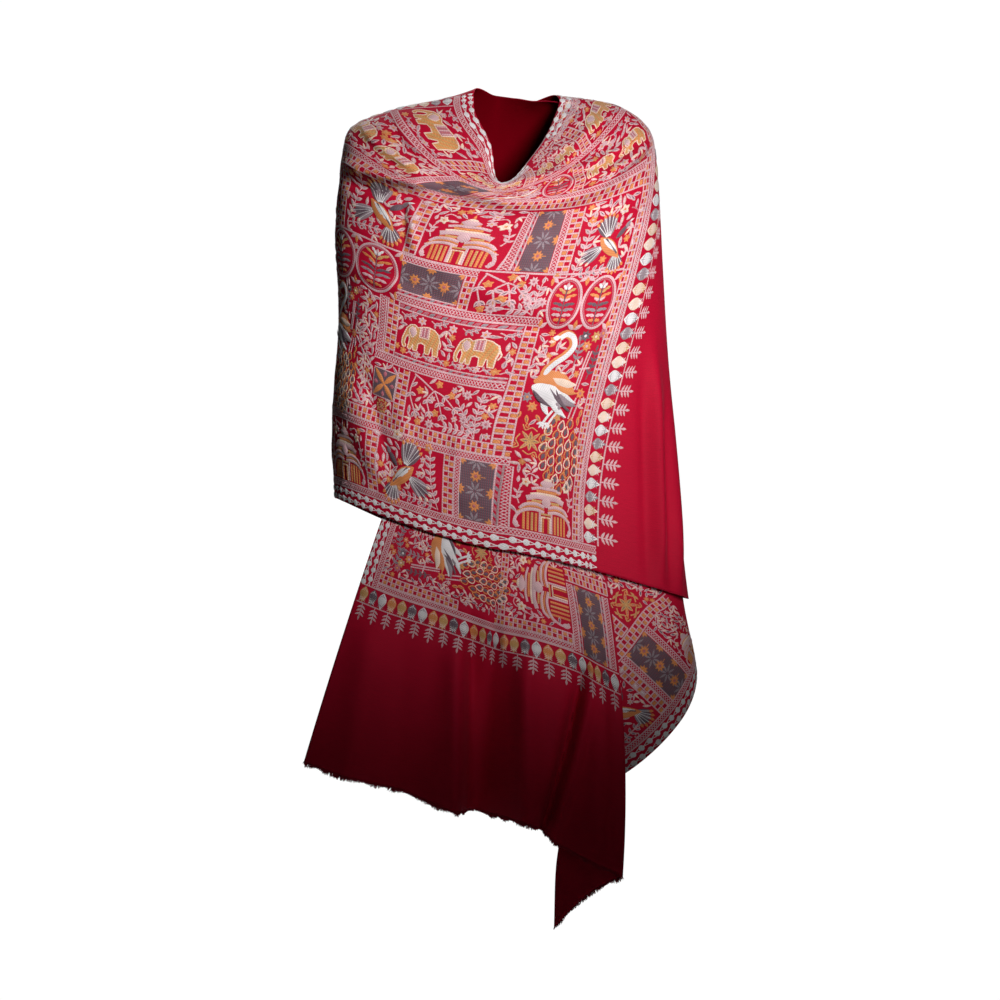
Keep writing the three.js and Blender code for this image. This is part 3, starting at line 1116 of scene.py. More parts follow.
@dataclass(frozen=True)
class DotBorder:
    """The border along a selvedge: two rows of dots joined by chains, along x, outward -y."""

    pitch: float = 15.6

    def draw(self, pen: Pen, length: float) -> None:
        """Draws length mm of it.

        Args:
            pen: the pen at its start.
            length: how long it is, in mm.
        """
        n = round(length / self.pitch)
        step = length / n
        for row, y in enumerate((5.0, 15.5)):
            for bow in (2.2, -2.2):
                points = [(k * step / 2, y + (bow if (k + row) % 2 else 0)) for k in range(2 * n + 1)]
                pen.rule(points, SILVER, 1.2)
            for k in range(n):
                pen.raised(0.1).dot((k + 0.5 * row + 0.25) * step, y, 4.4, SILVER)
        Strip(BRAID, 8.5).draw(pen.moved(0, 22), length)


@dataclass(frozen=True)
class Patch:
    """One patch of the design, drawn from its lower left corner, x to the right and y up."""

    wide: float
    tall: float

    def draw(self, pen: Pen) -> None:
        """Draws it."""
        raise NotImplementedError


@dataclass(frozen=True)
class SlatePanel(Patch):
    """A slate ground with tone on tone leaves and orange flowers, half flowers at its edges."""

    def draw(self, pen: Pen) -> None:
        """Draws it.

        Args:
            pen: the pen at its lower left corner.
        """
        w, h = self.wide, self.tall
        pen.fill([(0, 0), (w, 0), (w, h), (0, h)], SLATE, 90 if h > w else 0, 2.6, 0.92)
        raised = pen.raised(0.35)
        upright = h > w
        run, half = (h, w / 2) if upright else (w, h / 2)
        n = max(2, round(run / 36))
        for k in range(n + 1):
            where = run * k / n
            x, y = (half, where) if upright else (where, half)
            for turn in range(0, 360, 45):
                c, s = heading(turn + 22)
                if 1 < x + 12 * c < w - 1 and 1 < y + 12 * s < h - 1:
                    raised.leaf(x + 2 * c, y + 2 * s, turn + 22, 12, 3.2, ASH)
        petal = min(9.0, 0.36 * half)
        for k in range(n):
            where = run * (k + 0.5) / n
            x, y = (half, where) if upright else (where, half)
            raised.moved(x, y, lift=0.3).flower(0, 0, 8.2, 8, ORANGE, ROSE)
            raised.rule([(x, y), (x + 13, y)] if upright else [(x, y), (x, y - 13)], ORANGE, 1.2)
        for k in range(n + 1):
            where = run * k / n
            for side in (0, 1):
                x, y = (side * w, where) if upright else (where, side * h)
                if upright:
                    first, last = (0 if k == 0 else -90, 0 if k == n else 90)
                    turns = (first, last) if side == 0 else (180 - last, 180 - first)
                else:
                    first, last = (90 if k == n else 0, 90 if k == 0 else 180)
                    turns = (first, last) if side == 0 else (-last, -first)
                count = 4 if abs(turns[1] - turns[0]) > 120 else 2
                raised.moved(x, y, lift=0.3).flower(0, 0, petal, count, ORANGE, OCHRE, turns)


@dataclass(frozen=True)
class Roundels(Patch):
    """Round frames side by side, each with a small tree of coloured leaves, and buds in the corners."""

    count: int = 2

    def draw(self, pen: Pen) -> None:
        """Draws it.

        Args:
            pen: the pen at its lower left corner.
        """
        cell = self.wide / self.count
        rx, ry = cell / 2 - 1.6, self.tall / 2 - 1.6
        for k in range(self.count):
            x, y = cell * (k + 0.5), self.tall / 2
            pen.ring(x, y, rx, PINK, 3.2, ry / rx)
            pen.ring(x, y, rx - 3.2, ROSE, 1.4, (ry - 3.2) / (rx - 3.2))
            self.tree(pen.moved(x, y - ry + 4), (rx - 5) * 2, (ry - 5) * 2)
        for k in range(self.count + 1):
            for low in (True, False):
                x, y = cell * k, 0.0 if low else self.tall
                way = 90 if low else -90
                spread = (0, 60, -60) if 0 < k < self.count else ((0, -50) if (k == 0) == low else (0, 50))
                for turn in spread:
                    pen.leaf(x, y, way + turn, 11.5, 5.4, ORANGE if turn == 0 else PINK)

    def tree(self, pen: Pen, wide: float, tall: float) -> None:
        """The tree in a frame.

        Args:
            pen: the pen at its foot.
            wide: how wide it spreads.
            tall: how tall it is.
        """
        pen.rule([(0, 0), (0, tall)], SLATE, 1.6)
        rows = (
            (0.10, 0.50, 8, ORANGE), (0.20, 0.80, 14, PINK), (0.32, 0.95, 18, ASH), (0.44, 0.95, 22, SLATE),
            (0.56, 0.50, 40, PINK), (0.62, 0.98, 30, ORANGE), (0.74, 0.85, 42, OCHRE),
            (0.84, 0.50, 60, SILVER),
        )
        for up, reach, turn, thread in rows:
            for side in (1, -1):
                long = reach * wide / 2 * 0.95
                way = turn if side > 0 else 180 - turn
                pen.bud(side * 1.0, up * tall, way, long * 0.62, 4.6, thread, thread)
                c, s = heading(way)
                pen.leaf(
                    side + long * 0.45 * c, up * tall + long * 0.45 * s, way - side * 18, long * 0.5, 4.0,
                    thread
                )
        pen.leaf(0, tall * 0.88, 90, tall * 0.14, 5, PINK)


@dataclass(frozen=True)
class Elephants(Patch):
    """Ochre elephants with saddle cloths among pink flowers and leaves."""

    count: int = 2

    def draw(self, pen: Pen) -> None:
        """Draws it.

        Args:
            pen: the pen at its lower left corner.
        """
        size = min(self.wide / (self.count * 1.2), self.tall * 0.94) / 100
        high = 72 * size
        rest = self.tall - high
        for k in range(self.count):
            part = pen.moved(self.wide * (k + 0.46) / self.count - 50 * size, rest * 0.45, size=size)
            self.elephant(part)
        step = 22.0
        for k in range(int(self.wide / step)):
            x = step * (k + 0.5) + 1
            if k % 2:
                pen.flower(x, self.tall - 7, 6.5, 6, PINK, ORANGE)
            else:
                stem = [(x - 9, self.tall - 3), (x, self.tall - 7), (x + 9, self.tall - 3)]
                pen.sprig(stem, 6.5, PINK, PINK, 6, ASH)
            if rest > 14:
                pen.flower(x, 5.6, 5.4, 6, PINK if k % 3 else ORANGE, OCHRE)
                pen.sprig([(x + 5, 3), (x + 11, 7), (x + 16, 4)], 5.2, PINK, PINK, 5, ASH)

    def elephant(self, pen: Pen) -> None:
        """An elephant in a box 100 wide and 72 tall, walking to the left.

        Args:
            pen: the pen at its lower left corner.
        """
        outline = [
            (5, 4), (1, 12), (1, 24), (5, 38), (10, 52), (19, 62), (30, 65), (39, 60), (50, 65), (64, 68),
            (80, 65), (92, 56), (97, 42), (96, 24), (97, 3), (85, 3), (82, 20), (78, 22), (75, 3), (64, 3),
            (62, 23), (52, 26), (44, 22), (43, 3), (33, 3), (31, 17), (27, 3), (18, 3), (20, 26), (17, 35),
            (12, 33), (9, 24), (8, 14), (13, 10), (12, 5),
        ]
        pen.fill(outline, OCHRE, 70, 2.0, third=ORANGE)
        part = pen.raised(0.3)
        part.rule(outline + outline[:1], CREAM, 1.6)
        part.leaf(15, 36, 236, 12, 3.4, CREAM)
        part.leaf(25, 60, -80, 27, 17, PINK)
        part.line([(25, 60), (16, 48), (25, 33), (36, 45), (31, 60)], CREAM, 1.4)
        part.fill([(46, 40), (68, 40), (67, 67), (47, 63)], ROSE, 90, 2.2)
        top = pen.raised(0.7)
        for x in (49, 57, 65):
            top.rule([(x, 42), (x, 64)], PINK, 1.6)
        top.rule([(45, 39), (69, 39), (68, 68), (46, 64), (45, 39)], CREAM, 1.7)
        top.dot(15, 50, 1.6, SLATE)
        part.line([(97, 44), (101, 34), (99, 22)], CREAM, 1.3)


@dataclass(frozen=True)
class Blossoms(Patch):
    """Branches with slate buds and orange flowers, and pink leafy shoots."""

    def draw(self, pen: Pen) -> None:
        """Draws it.

        Args:
            pen: the pen at its lower left corner.
        """
        self.branches(pen)
        self.shoots(pen)

    def branches(self, pen: Pen) -> None:
        """Draws the branches that come down from the upper left corner, with their buds.

        Args:
            pen: the pen at its lower left corner.
        """
        w, h = self.wide, self.tall
        pen.line([(w * 0.06, h - 1), (w * 0.17, h * 0.9), (w * 0.3, h * 0.77)], PINK, 2.2)
        for start, middle, end in (
            ((0.06, 0.98), (0.02, 0.6), (0.1, 0.26)), ((0.3, 0.77), (0.23, 0.56), (0.27, 0.34)),
            ((0.3, 0.77), (0.37, 0.56), (0.42, 0.34)), ((0.3, 0.77), (0.42, 0.7), (0.55, 0.52)),
        ):
            line = [(w * x + 2, h * y) for x, y in (start, middle, end)]
            pen.line(line, PINK, 1.9)
            way = math.degrees(math.atan2(line[2][1] - line[1][1], line[2][0] - line[1][0]))
            for turn in (-44, 0, 44):
                pen.bud(*line[2], way + turn, 10, 5.4, PINK, SLATE if turn else ORANGE)
            for turn in (-56, 56):
                pen.bud(*line[1], way + turn, 9.5, 5.2, PINK, SLATE)
        for x, y in ((0.36, 0.92), (0.15, 0.7), (0.52, 0.76), (0.36, 0.34), (0.17, 0.08)):
            pen.flower(w * x, h * y, 6.0, 5, ORANGE, OCHRE)

    def shoots(self, pen: Pen) -> None:
        """Draws the leafy shoots that rise from the lower right corner, and the round flowers.

        Args:
            pen: the pen at its lower left corner.
        """
        w, h = self.wide, self.tall
        for middle, tip in (
            ((0.83, 0.4), (0.86, 0.8)), ((0.68, 0.12), (0.44, 0.12)), ((0.74, 0.34), (0.62, 0.62))
        ):
            line = [(w * 0.84, 1.0), (w * middle[0], h * middle[1]), (w * tip[0], h * tip[1])]
            pen.sprig(line, 10.5, PINK, PINK, 8.6, ASH)
        for x, y in ((0.7, 0.84), (0.31, 0.1), (0.7, 0.34), (0.94, 0.34)):
            pen.flower(w * x, h * y, 7.4, 8, PINK, ROSE)
            pen.raised(0.3).ring(w * x, h * y, 4.2, PINK, 1.5)
        pen.curl(w * 0.93, h * 0.88, 4.5, 0, PINK)


@dataclass(frozen=True)
class LongTailedBird(Patch):
    """A tall bird with a curved neck and a tail of eyed feathers, among flowers."""

    neck: bool = True

    def draw(self, pen: Pen) -> None:
        """Draws it.

        Args:
            pen: the pen at its lower left corner.
        """
        pen = pen.moved(0, 0, size=self.tall / 195)
        self.plants(pen)
        up = pen.raised(0.5)
        if self.neck:
            neck = [
                (40, 116), (26, 124), (22, 137), (31, 150), (45, 162), (52, 174), (48, 185), (38, 189),
                (30, 183)
            ]
            pen.line(neck, ORANGE, 10.5)
            up.line([(x + 2.2, y - 0.4) for x, y in neck], SILVER, 7.0)
            up.leaf(32, 185, 205, 13, 7, SILVER)
            for turn, thread in ((150, ORANGE), (185, CREAM), (228, ORANGE)):
                up.leaf(27, 178, turn, 10, 4.6, thread)
        pen.leaf(10, 124, -8, 60, 30, ORANGE, bend=6)
        up.leaf(9, 117, -16, 62, 33, SILVER)
        wing = pen.raised(1.3)
        for x, y, turn, long, wide, thread in (
            (34, 131, -10, 38, 12, CREAM), (38, 124, -16, 38, 10, ORANGE), (36, 116, -24, 46, 12, ASH),
            (46, 119, -30, 36, 7, SILVER), (34, 108, -40, 42, 10, SILVER), (42, 108, -52, 36, 8, ASH),
            (28, 106, -66, 28, 9, SILVER),
        ):
            wing.leaf(x, y, turn, long, wide, thread, bend=-3)
        quill = wing.raised(0.8)
        for x, y, turn, long, wide in ((34, 117, -36, 46, 5), (43, 116, -46, 38, 4.4), (12, 112, -34, 34, 6)):
            quill.leaf(x, y, turn, long, wide, SLATE, bend=-3)
        for x0, x1 in ((44, 33), (52, 41)):
            up.line([(x0, 88), ((x0 + x1) / 2, 80), (x1, 70)], SILVER, 3.4)
            for turn in (200, 240, 280):
                up.leaf(x1, 71, turn, 9, 3.6, SILVER)
        for row, count in enumerate((3, 4, 5, 5, 5, 5, 4, 3)):
            for k in range(count):
                x = 62 + (k - (count - 1) / 2) * 13.2 + 1.2 * row
                y = 74 - row * 11.8 - (k % 2) * 4.5
                eye = pen.moved(x, y, turn=-96 + (k - count / 2) * 8, lift=0.3)
                drop = [(-8, 0), (-2, 4.2), (4, 4.8), (7.2, 0), (4, -4.8), (-2, -4.2), (-8, 0)]
                eye.line(drop, CREAM if (row + k) % 2 else ORANGE, 1.7)
                eye.leaf(-4.2, 0, 0, 9.4, 5.4, SLATE)

    def plants(self, pen: Pen) -> None:
        """Flowers and stems round the bird, in a box 95 wide and 195 tall.

        Args:
            pen: the pen at its lower left corner.
        """
        pen.sprig([(60, 150), (62, 166), (60, 180)], 8.5, ASH, ASH, 7.5)
        for start, end, width in (
            ((78, 168), (70, 118), 2.4), ((82, 168), (74, 118), 2.0), ((70, 145), (86, 147), 2.4),
            ((76, 108), (70, 80), 2.2), ((82, 106), (76, 78), 2.2),
        ):
            pen.rule([start, end], PINK, width)
        pen.sprig([(84, 132), (88, 148), (89, 168)], 8, SLATE, SLATE, 8)
        for x, y, thread, heart in (
            (66, 187, SLATE, SILVER), (82, 186, OCHRE, CREAM), (72, 174, ORANGE, PINK),
            (81, 114, ORANGE, ROSE), (6, 102, ASH, ORANGE), (15, 90, ORANGE, OCHRE),
            (52, 80, OCHRE, ORANGE), (92, 190, ROSE, ORANGE),
        ):
            pen.flower(x, y, 7.4, 7, thread, heart)
        for x, y, turn in ((2, 82, -110), (10, 78, -80), (22, 80, -50), (90, 94, -100), (86, 84, -80)):
            pen.bud(x, y, turn, 12, 5.5, ORANGE, SLATE)
        fret = pen.moved(20, 44)
        for turn in (0, 90, 180, 270):
            fret.bud(0, 0, turn, 13, 5.6, OCHRE, SLATE)
            fret.bud(0, 0, turn + 45, 17, 4.6, OCHRE, ROSE)
            part = fret.moved(0, 0, turn=turn)
            part.line([(14, -8), (18, 0), (14, 8), (21, 12)], OCHRE, 1.5)
            part.curl(23, 6, 3.2, 0, ORANGE)
        for y in (38, 50, 60):
            pen.bud(38, y, 4, 12, 5, OCHRE, SLATE)


@dataclass(frozen=True)
class FlyingBird(Patch):
    """A bird in flight with fanned wings and tail, over leafy shoots."""

    mirror: bool = False

    def draw(self, pen: Pen) -> None:
        """Draws it.

        Args:
            pen: the pen at its lower left corner.
        """
        w, h = self.wide, self.tall
        pen = pen.moved(w, 0, mirror=True) if self.mirror else pen
        pen.sprig([(w * 0.06, 2), (w * 0.16, h * 0.4), (w * 0.2, h * 0.92)], 10.5, PINK, PINK, 9.5, ASH)
        pen.sprig([(w * 0.08, 3), (w * 0.34, h * 0.1), (w * 0.6, h * 0.12)], 8.5, PINK, PINK, 8.5, ASH)
        for x, y, turn in ((0.66, 0.1, 0), (0.3, 0.05, 180), (0.46, 0.03, 180)):
            pen.curl(w * x, h * y, 4.2, turn, PINK)
        bird = pen.moved(w * 0.58, h * 0.5, size=min(w, h * 1.15) / 74)
        bird.fan(-2, 4, (84, 132), 6, 33, ORANGE)
        bird.fan(-5, -2, (196, 232), 4, 33, CREAM)
        bird.fan(12, -12, (-104, -48), 6, 25, ORANGE)
        up = bird.raised(0.7)
        up.leaf(-13, 8, -42, 42, 15, ORANGE)
        up.raised(0.5).leaf(-9, 6, -40, 30, 9, SILVER)
        for k in range(5):
            up.raised(0.9).rule([(k * 4 - 6, 6 - k * 4), (k * 4 - 2, 2 - k * 4.2)], SLATE, 2.0)
        up.leaf(8, 4, 48, 20, 7, SLATE)
        up.leaf(18, 14, 60, 10, 6, ASH)
        up.leaf(21, 21, 20, 8, 2.6, SILVER)
        bird.line([(20, 38), (30, 34), (38, 24), (36, 12), (38, -4)], ROSE, 1.6)
        for x, y, turn in ((14, 36, 180), (24, 30, 215), (34, 30, 20), (34, 2, 70), (36, -10, 95)):
            bird.bud(x, y, turn, 10, 5.6, PINK, SILVER)
        bird.flower(10, 38, 7, 5, CREAM, ORANGE)
        bird.flower(-30, 34, 6, 5, ORANGE, PINK)


@dataclass(frozen=True)
class Pavilion(Patch):
    """A garden pavilion of pink and orange tiers, with shoots at its sides."""

    def draw(self, pen: Pen) -> None:
        """Draws it.

        Args:
            pen: the pen at its lower left corner.
        """
        pen = pen.moved(self.wide / 2, 0, size=min(self.wide / 94, self.tall / 78))
        for side in (-1, 1):
            part = pen.moved(0, 0, mirror=side < 0)
            for x in (15, 20.5, 26, 31.5):
                part.rule([(x, 1), (x, 25)], ORANGE if x != 20.5 else OCHRE, 3.2)
            part.rule([(9.5, 1), (9.5, 27)], PINK, 3.0)
            part.line([(37, 3), (42, 8), (41, 16), (37, 22)], PINK, 3.4)
            part.leaf(42, 12, -100, 11, 6.5, PINK)
            up = part.raised(0.4)
            for k, (thread, wide) in enumerate(((PINK, 4.2), (ORANGE, 1.8), (PINK, 4.2))):
                y = 26 + 3.6 * k
                up.line([(3, y + 1), (16, y + 3.5), (30, y + 1), (41 - 2 * k, y - 6)], thread, wide)
            part.rule([(9, 37), (28, 36)], ORANGE, 6.4)
            part.rule([(2, 41), (22, 41)], OCHRE, 3.0)
            up.line([(0, 47), (16, 47), (29, 43)], PINK, 6.6)
            up.line([(0, 51.5), (14, 51), (24, 49)], CREAM, 3.0)
            part.rule([(0, 55), (16, 54.5)], ORANGE, 3.6)
            up.line([(0, 59), (12, 59), (23, 56)], PINK, 3.8)
            part.rule([(0, 63), (11, 62.5)], ORANGE, 2.6)
            part.sprig([(38, 34), (41, 44), (38, 55)], 8.0, PINK, PINK, 7)
            part.flower(31, 64, 6.8, 5, CREAM, ORANGE)
            part.line([(20, 74), (27, 76), (32, 71), (31, 64)], PINK, 1.6)
            part.leaf(20, 74, 200, 7, 4, PINK)
            part.leaf(41, 62, 95, 9, 4.5, PINK)
        up = pen.raised(0.8)
        up.leaf(0, 34, 90, 15, 15, PINK)
        up.leaf(0, 35, 90, 8, 6, SILVER)
        up.leaf(-11, 65.5, 0, 22, 11, PINK)
        up.leaf(-6, 70, 0, 12, 6, CREAM)
        up.leaf(0, 71, 90, 9, 3, ORANGE)
        for wide, thread in ((7.0, CREAM), (4.2, ORANGE)):
            up.rule([(-wide, 1), (-wide, 21), (wide, 21), (wide, 1)], thread, 2.2)
        up.rule([(-8, 25), (8, 25)], OCHRE, 2.4)


@dataclass(frozen=True)
class CrossSquare(Patch):
    """A slate square with an orange cross from corner to corner."""

    def draw(self, pen: Pen) -> None:
        """Draws it.

        Args:
            pen: the pen at its lower left corner.
        """
        w, h = self.wide, self.tall
        pen.fill([(0, 0), (w, 0), (w, h), (0, h)], SLATE, 0, 2.1)
        up = pen.moved(w / 2, h / 2, lift=0.4)
        turn = math.degrees(math.atan2(h, w))
        for way in (turn, 180 - turn, 180 + turn, -turn):
            up.leaf(0, 0, way, math.hypot(w, h) * 0.48, 7.5, ORANGE)
        for way in (0, 90, 180, 270):
            c, s = heading(way)
            up.leaf(0.46 * w * c, 0.46 * h * s, way + 180, 0.2 * min(w, h), 6, ROSE)
        pen.rule([(0, 0), (w, 0), (w, h), (0, h), (0, 0)], PINK, 1.8)


@dataclass(frozen=True)
class FretSquare(Patch):
    """A square of ochre scrolls round a slate cross."""

    def draw(self, pen: Pen) -> None:
        """Draws it.

        Args:
            pen: the pen at its lower left corner.
        """
        size = min(self.wide, self.tall) / 50
        part = pen.moved(self.wide / 2, self.tall / 2, size=size)
        for turn in (0, 90, 180, 270):
            part.bud(0, 0, turn, 15, 6.5, OCHRE, SLATE)
            arm = part.moved(0, 0, turn=turn)
            arm.bud(3, 3, 45, 17, 5.5, ORANGE, ROSE)
            arm.line([(16, -9), (21, 0), (16, 9), (21, 17), (14, 20)], OCHRE, 1.9)
            arm.curl(20, 12, 4.2, 0, ORANGE)
            arm.leaf(23, 0, 90, 9, 3.5, OCHRE)
            arm.leaf(23, 0, -90, 9, 3.5, OCHRE)


@dataclass(frozen=True)
class Vine(Patch):
    """A winding stem with leaves and flowers, the long way of the patch."""

    thread: Thread = PINK
    heart: Thread = ASH

    def draw(self, pen: Pen) -> None:
        """Draws it.

        Args:
            pen: the pen at its lower left corner.
        """
        w, h = self.wide, self.tall
        if h > w:
            pen, w, h = pen.moved(w, 0, turn=90), h, w
        bends = max(2, round(w / max(h, 18)))
        points = [(w * k / bends, h * (0.32 if k % 2 else 0.68)) for k in range(bends + 1)]
        pen.sprig(points, min(9.0, h * 0.34), self.thread, self.thread, 8.0, self.heart)
        for k in range(bends):
            x, y = w * (k + 0.5) / bends, h * 0.5
            top = k % 2 == 0
            pen.flower(x + w / bends * 0.42, h * (0.8 if top else 0.2), min(7.0, h * 0.2), 6, ORANGE, PINK)
            pen.curl(x, y + (-0.36 if top else 0.36) * h, 3.8, 90 if top else -90, self.thread)


@dataclass(frozen=True)
class Layout:
    """Where a patch or strip lies: along and down in the cloth's flat coordinates, nearest and farthest."""

    along: Pair
    down: Pair
    kind: type[Patch] | Part
    extra: tuple[Any, ...] = ()

    def draw(self, book: Embroidery, inward: bool = True) -> None:
        """Draws it with its foot toward the far selvedge.

        Args:
            book: the stitches to add to.
            inward: whether x runs toward smaller along.
        """
        corner = (self.along[1], self.down[1])
        self.draw_on(book, corner, *((NEARER, UP) if inward else (UP, NEARER)))

    def draw_on(self, book: Embroidery, corner: Pair, right: Pair, up: Pair) -> None:
        """Draws it from its own lower left corner.

        Args:
            book: the stitches to add to.
            corner: that corner in the cloth's flat coordinates.
            right: the way x runs.
            up: the way y runs.
        """
        wide, tall = self.along[1] - self.along[0], self.down[1] - self.down[0]
        if right[0] == 0:
            wide, tall = tall, wide
        pen = Pen(book, corner, right, up)
        if isinstance(self.kind, Part):
            if wide > tall:
                Strip(self.kind, tall).draw(pen, wide)
            else:
                Strip(self.kind, wide).draw(pen.moved(wide, 0, turn=90), tall)
        else:
            self.kind(wide, tall, *self.extra).draw(pen)


def course(down: Pair, *cells: tuple[Any, ...]) -> list[Layout]:
    """Patches and strips side by side.

    Args:
        down: nearest and farthest down, the same for all of them.
        *cells: for each one its nearest and farthest along, its kind, and what else that kind asks for.

    Returns:
        Their layouts.
    """
    return [Layout((near, far), down, kind, tuple(extra)) for near, far, kind, *extra in cells]


FRONT_PATCHES = (
    *course(
        (587, 668), (322, 415, Pavilion), (416, 425, BRAID), (425, 430, CORD), (431, 475, SlatePanel),
        (476, 484, BRAID), (485, 501, LADDER), (502, 609, FlyingBird, True), (610, 627, LADDER),
        (630, 722, Pavilion), (724, 742, LADDER),
    ),
    *course((560, 576), (420, 742, LADDER)),
    *course((577, 586), (420, 742, BRAID)),
    *course((398, 560), (421, 439, LADDER)),
    *course((399, 594), (326, 420, LongTailedBird)),
    *course((408, 469), (441, 598, Elephants, 2)),
    *course((471, 476), (441, 598, CORD)),
    *course((477, 487), (441, 631, BRAID)),
    *course((489, 559), (441, 570, Blossoms)),
    *course((489, 560), (571, 588, LADDER)),
    *course((500, 538), (590, 628, CrossSquare)),
    *course((540, 559), (590, 628, FretSquare)),
    *course((398, 476), (600, 617, LADDER), (620, 630, BRAID)),
    *course((402, 562), (634, 742, LongTailedBird)),
    *course((398, 406), (441, 600, CORD)),
    *course((387, 397), (422, 606, BRAID)),
    *course((339, 380), (524, 604, SlatePanel)),
    *course((381, 386), (524, 604, CORD)),
    *course((329, 338), (510, 606, BRAID)),
    *course((339, 386), (510, 522, LADDER)),
    *course((330, 385), (423, 508, Blossoms)),
    *course((332, 399), (326, 421, Roundels, 2)),
    *course((329, 398), (607, 742, Roundels, 2)),
    *course((326.5, 327.5), (326, 742, LINE)),
    *course((250, 334), (328, 402, FlyingBird)),
    *course((236, 332), (404, 422, LADDER)),
    *course((236, 326), (423, 432, BRAID)),
    *course((236, 325), (434, 479, SlatePanel), (480, 485, CORD), (486, 495, BRAID)),
    *course((238, 325), (497, 590, Pavilion)),
    *course((236, 325), (591, 608, LADDER)),
    *course((236, 318), (610, 700, FlyingBird)),
    *course((236, 325), (702, 718, LADDER)),
    *course((236, 318), (720, 742, Vine)),
    *course((215, 232), (326, 742, LADDER)),
    *course((205, 214), (326, 742, BRAID)),
    *course((128, 203), (326, 420, Elephants, 2)),
    *course((124, 203), (421, 437, LADDER)),
    *course((128, 203), (440, 498, Roundels, 1)),
    *course((126, 203), (500, 560, Blossoms)),
    *course((124, 203), (561, 577, LADDER), (580, 624, SlatePanel), (626, 635, BRAID)),
    *course((126, 203), (637, 742, Elephants, 2)),
    *course((114, 123), (326, 742, BRAID)),
    *course((34, 112), (326, 394, Elephants, 1), (396, 412, LADDER)),
    *course((36, 112), (414, 520, Elephants, 2)),
    *course((34, 112), (522, 538, LADDER)),
    *course((36, 112), (540, 646, Elephants, 2)),
    *course((34, 112), (648, 664, LADDER), (666, 742, Elephants, 1)),
    *course((31, 560), (314, 325, LADDER), (309, 313, CORD)),
    *course((31, 668), (301, 308, BRAID)),
    *course((561, 668), (310, 321, LADDER)),
)
BAND_PATCHES = (
    *course((728, 806), (36, 62, Vine, ASH, SLATE)),
    *course((700, 822), (248, 261, LADDER)),
    *course((708, 822), (264, 368, Pavilion)),
    *course((722, 740), (370, 456, LADDER)),
    *course(
        (744, 848), (370, 379, BRAID), (380, 385, CORD), (387, 437, SlatePanel), (438, 443, CORD),
        (445, 454, BRAID),
    ),
    *course((824, 839), (30, 166, LADDER), (240, 368, LADDER)),
    *course((841, 849), (30, 368, BRAID)),
)
FLAP_PATCHES = (
    *course(
        (32, 126), (0, 62, Pavilion), (64, 73, BRAID), (75, 119, SlatePanel), (120, 129, BRAID),
        (130, 146, LADDER), (148, 236, FlyingBird),
    ),
    *course((128, 144), (0, 236, LADDER)),
    *course((147, 190), (40, 84, FretSquare)),
    *course((147, 240), (88, 104, LADDER), (108, 190, Blossoms)),
)


# -------- finishes


CRIMSON = (0.46, 0.0025, 0.026)
# The darker crimson of every shell's inner face is painted shade, darkening wherever the inside shows, as in
# the neck; the wool is one dye throughout.
PAINTED_SHADE_CRIMSON = (0.13, 0.0004, 0.004)
STITCH_LENGTH = 0.0034
TWIST_LENGTH = 0.0012


class Nodes:
    """Adds and joins the nodes of one material or node group."""

    def __init__(self, tree: NodeTree) -> None:
        """Works in one node tree."""
        self.tree = tree

    def add(self, kind: str, **settings: Any) -> Node:
        """Adds a node.

        Args:
            kind: its type.
            **settings: its own properties, and inputs as a dict of values or sockets.

        Returns:
            The node.
        """
        inputs = settings.pop("inputs", {})
        node = self.tree.nodes.new(kind)
        for name, value in settings.items():
            setattr(node, name, value)
        for name, value in inputs.items():
            self.give(node.inputs[name], value)
        return node

    def give(self, socket: NodeSocket, value: Any) -> None:
        """Joins a socket to another one, or sets its value.

        Args:
            socket: the input.
            value: a number, a colour or another socket.
        """
        if isinstance(value, NodeSocket):
            self.tree.links.new(value, socket)
        else:
            socket.default_value = value

    def math(self, operation: str, *values: Any) -> NodeSocket:
        """A sum of values and sockets.

        Args:
            operation: the kind of sum.
            *values: its numbers or sockets.

        Returns:
            The result.
        """
        node = self.tree.nodes.new("ShaderNodeMath")
        node.operation = operation
        for socket, value in zip(node.inputs, values):
            self.give(socket, value)
        return node.outputs[0]

    def noise(self, where: NodeSocket, scale: float, detail: float = 2.0) -> NodeSocket:
        """Soft random patches from 0 to 1."""
        inputs = {"Vector": where, "Scale": scale, "Detail": detail}
        return self.add("ShaderNodeTexNoise", inputs=inputs).outputs["Fac"]


def new_group(name: str, inputs: dict[str, float], outputs: dict[str, str]) -> NodeTree:
    """Starts a shader node group.

    Args:
        name: its name.
        inputs: its number inputs and their usual values.
        outputs: its outputs and their socket types.

    Returns:
        The group.
    """
    group = bpy.data.node_groups.new(name, "ShaderNodeTree")
    for label, value in inputs.items():
        group.interface.new_socket(label, in_out="INPUT", socket_type="NodeSocketFloat").default_value = value
    for label, kind in outputs.items():
        group.interface.new_socket(label, in_out="OUTPUT", socket_type=kind)
    return group


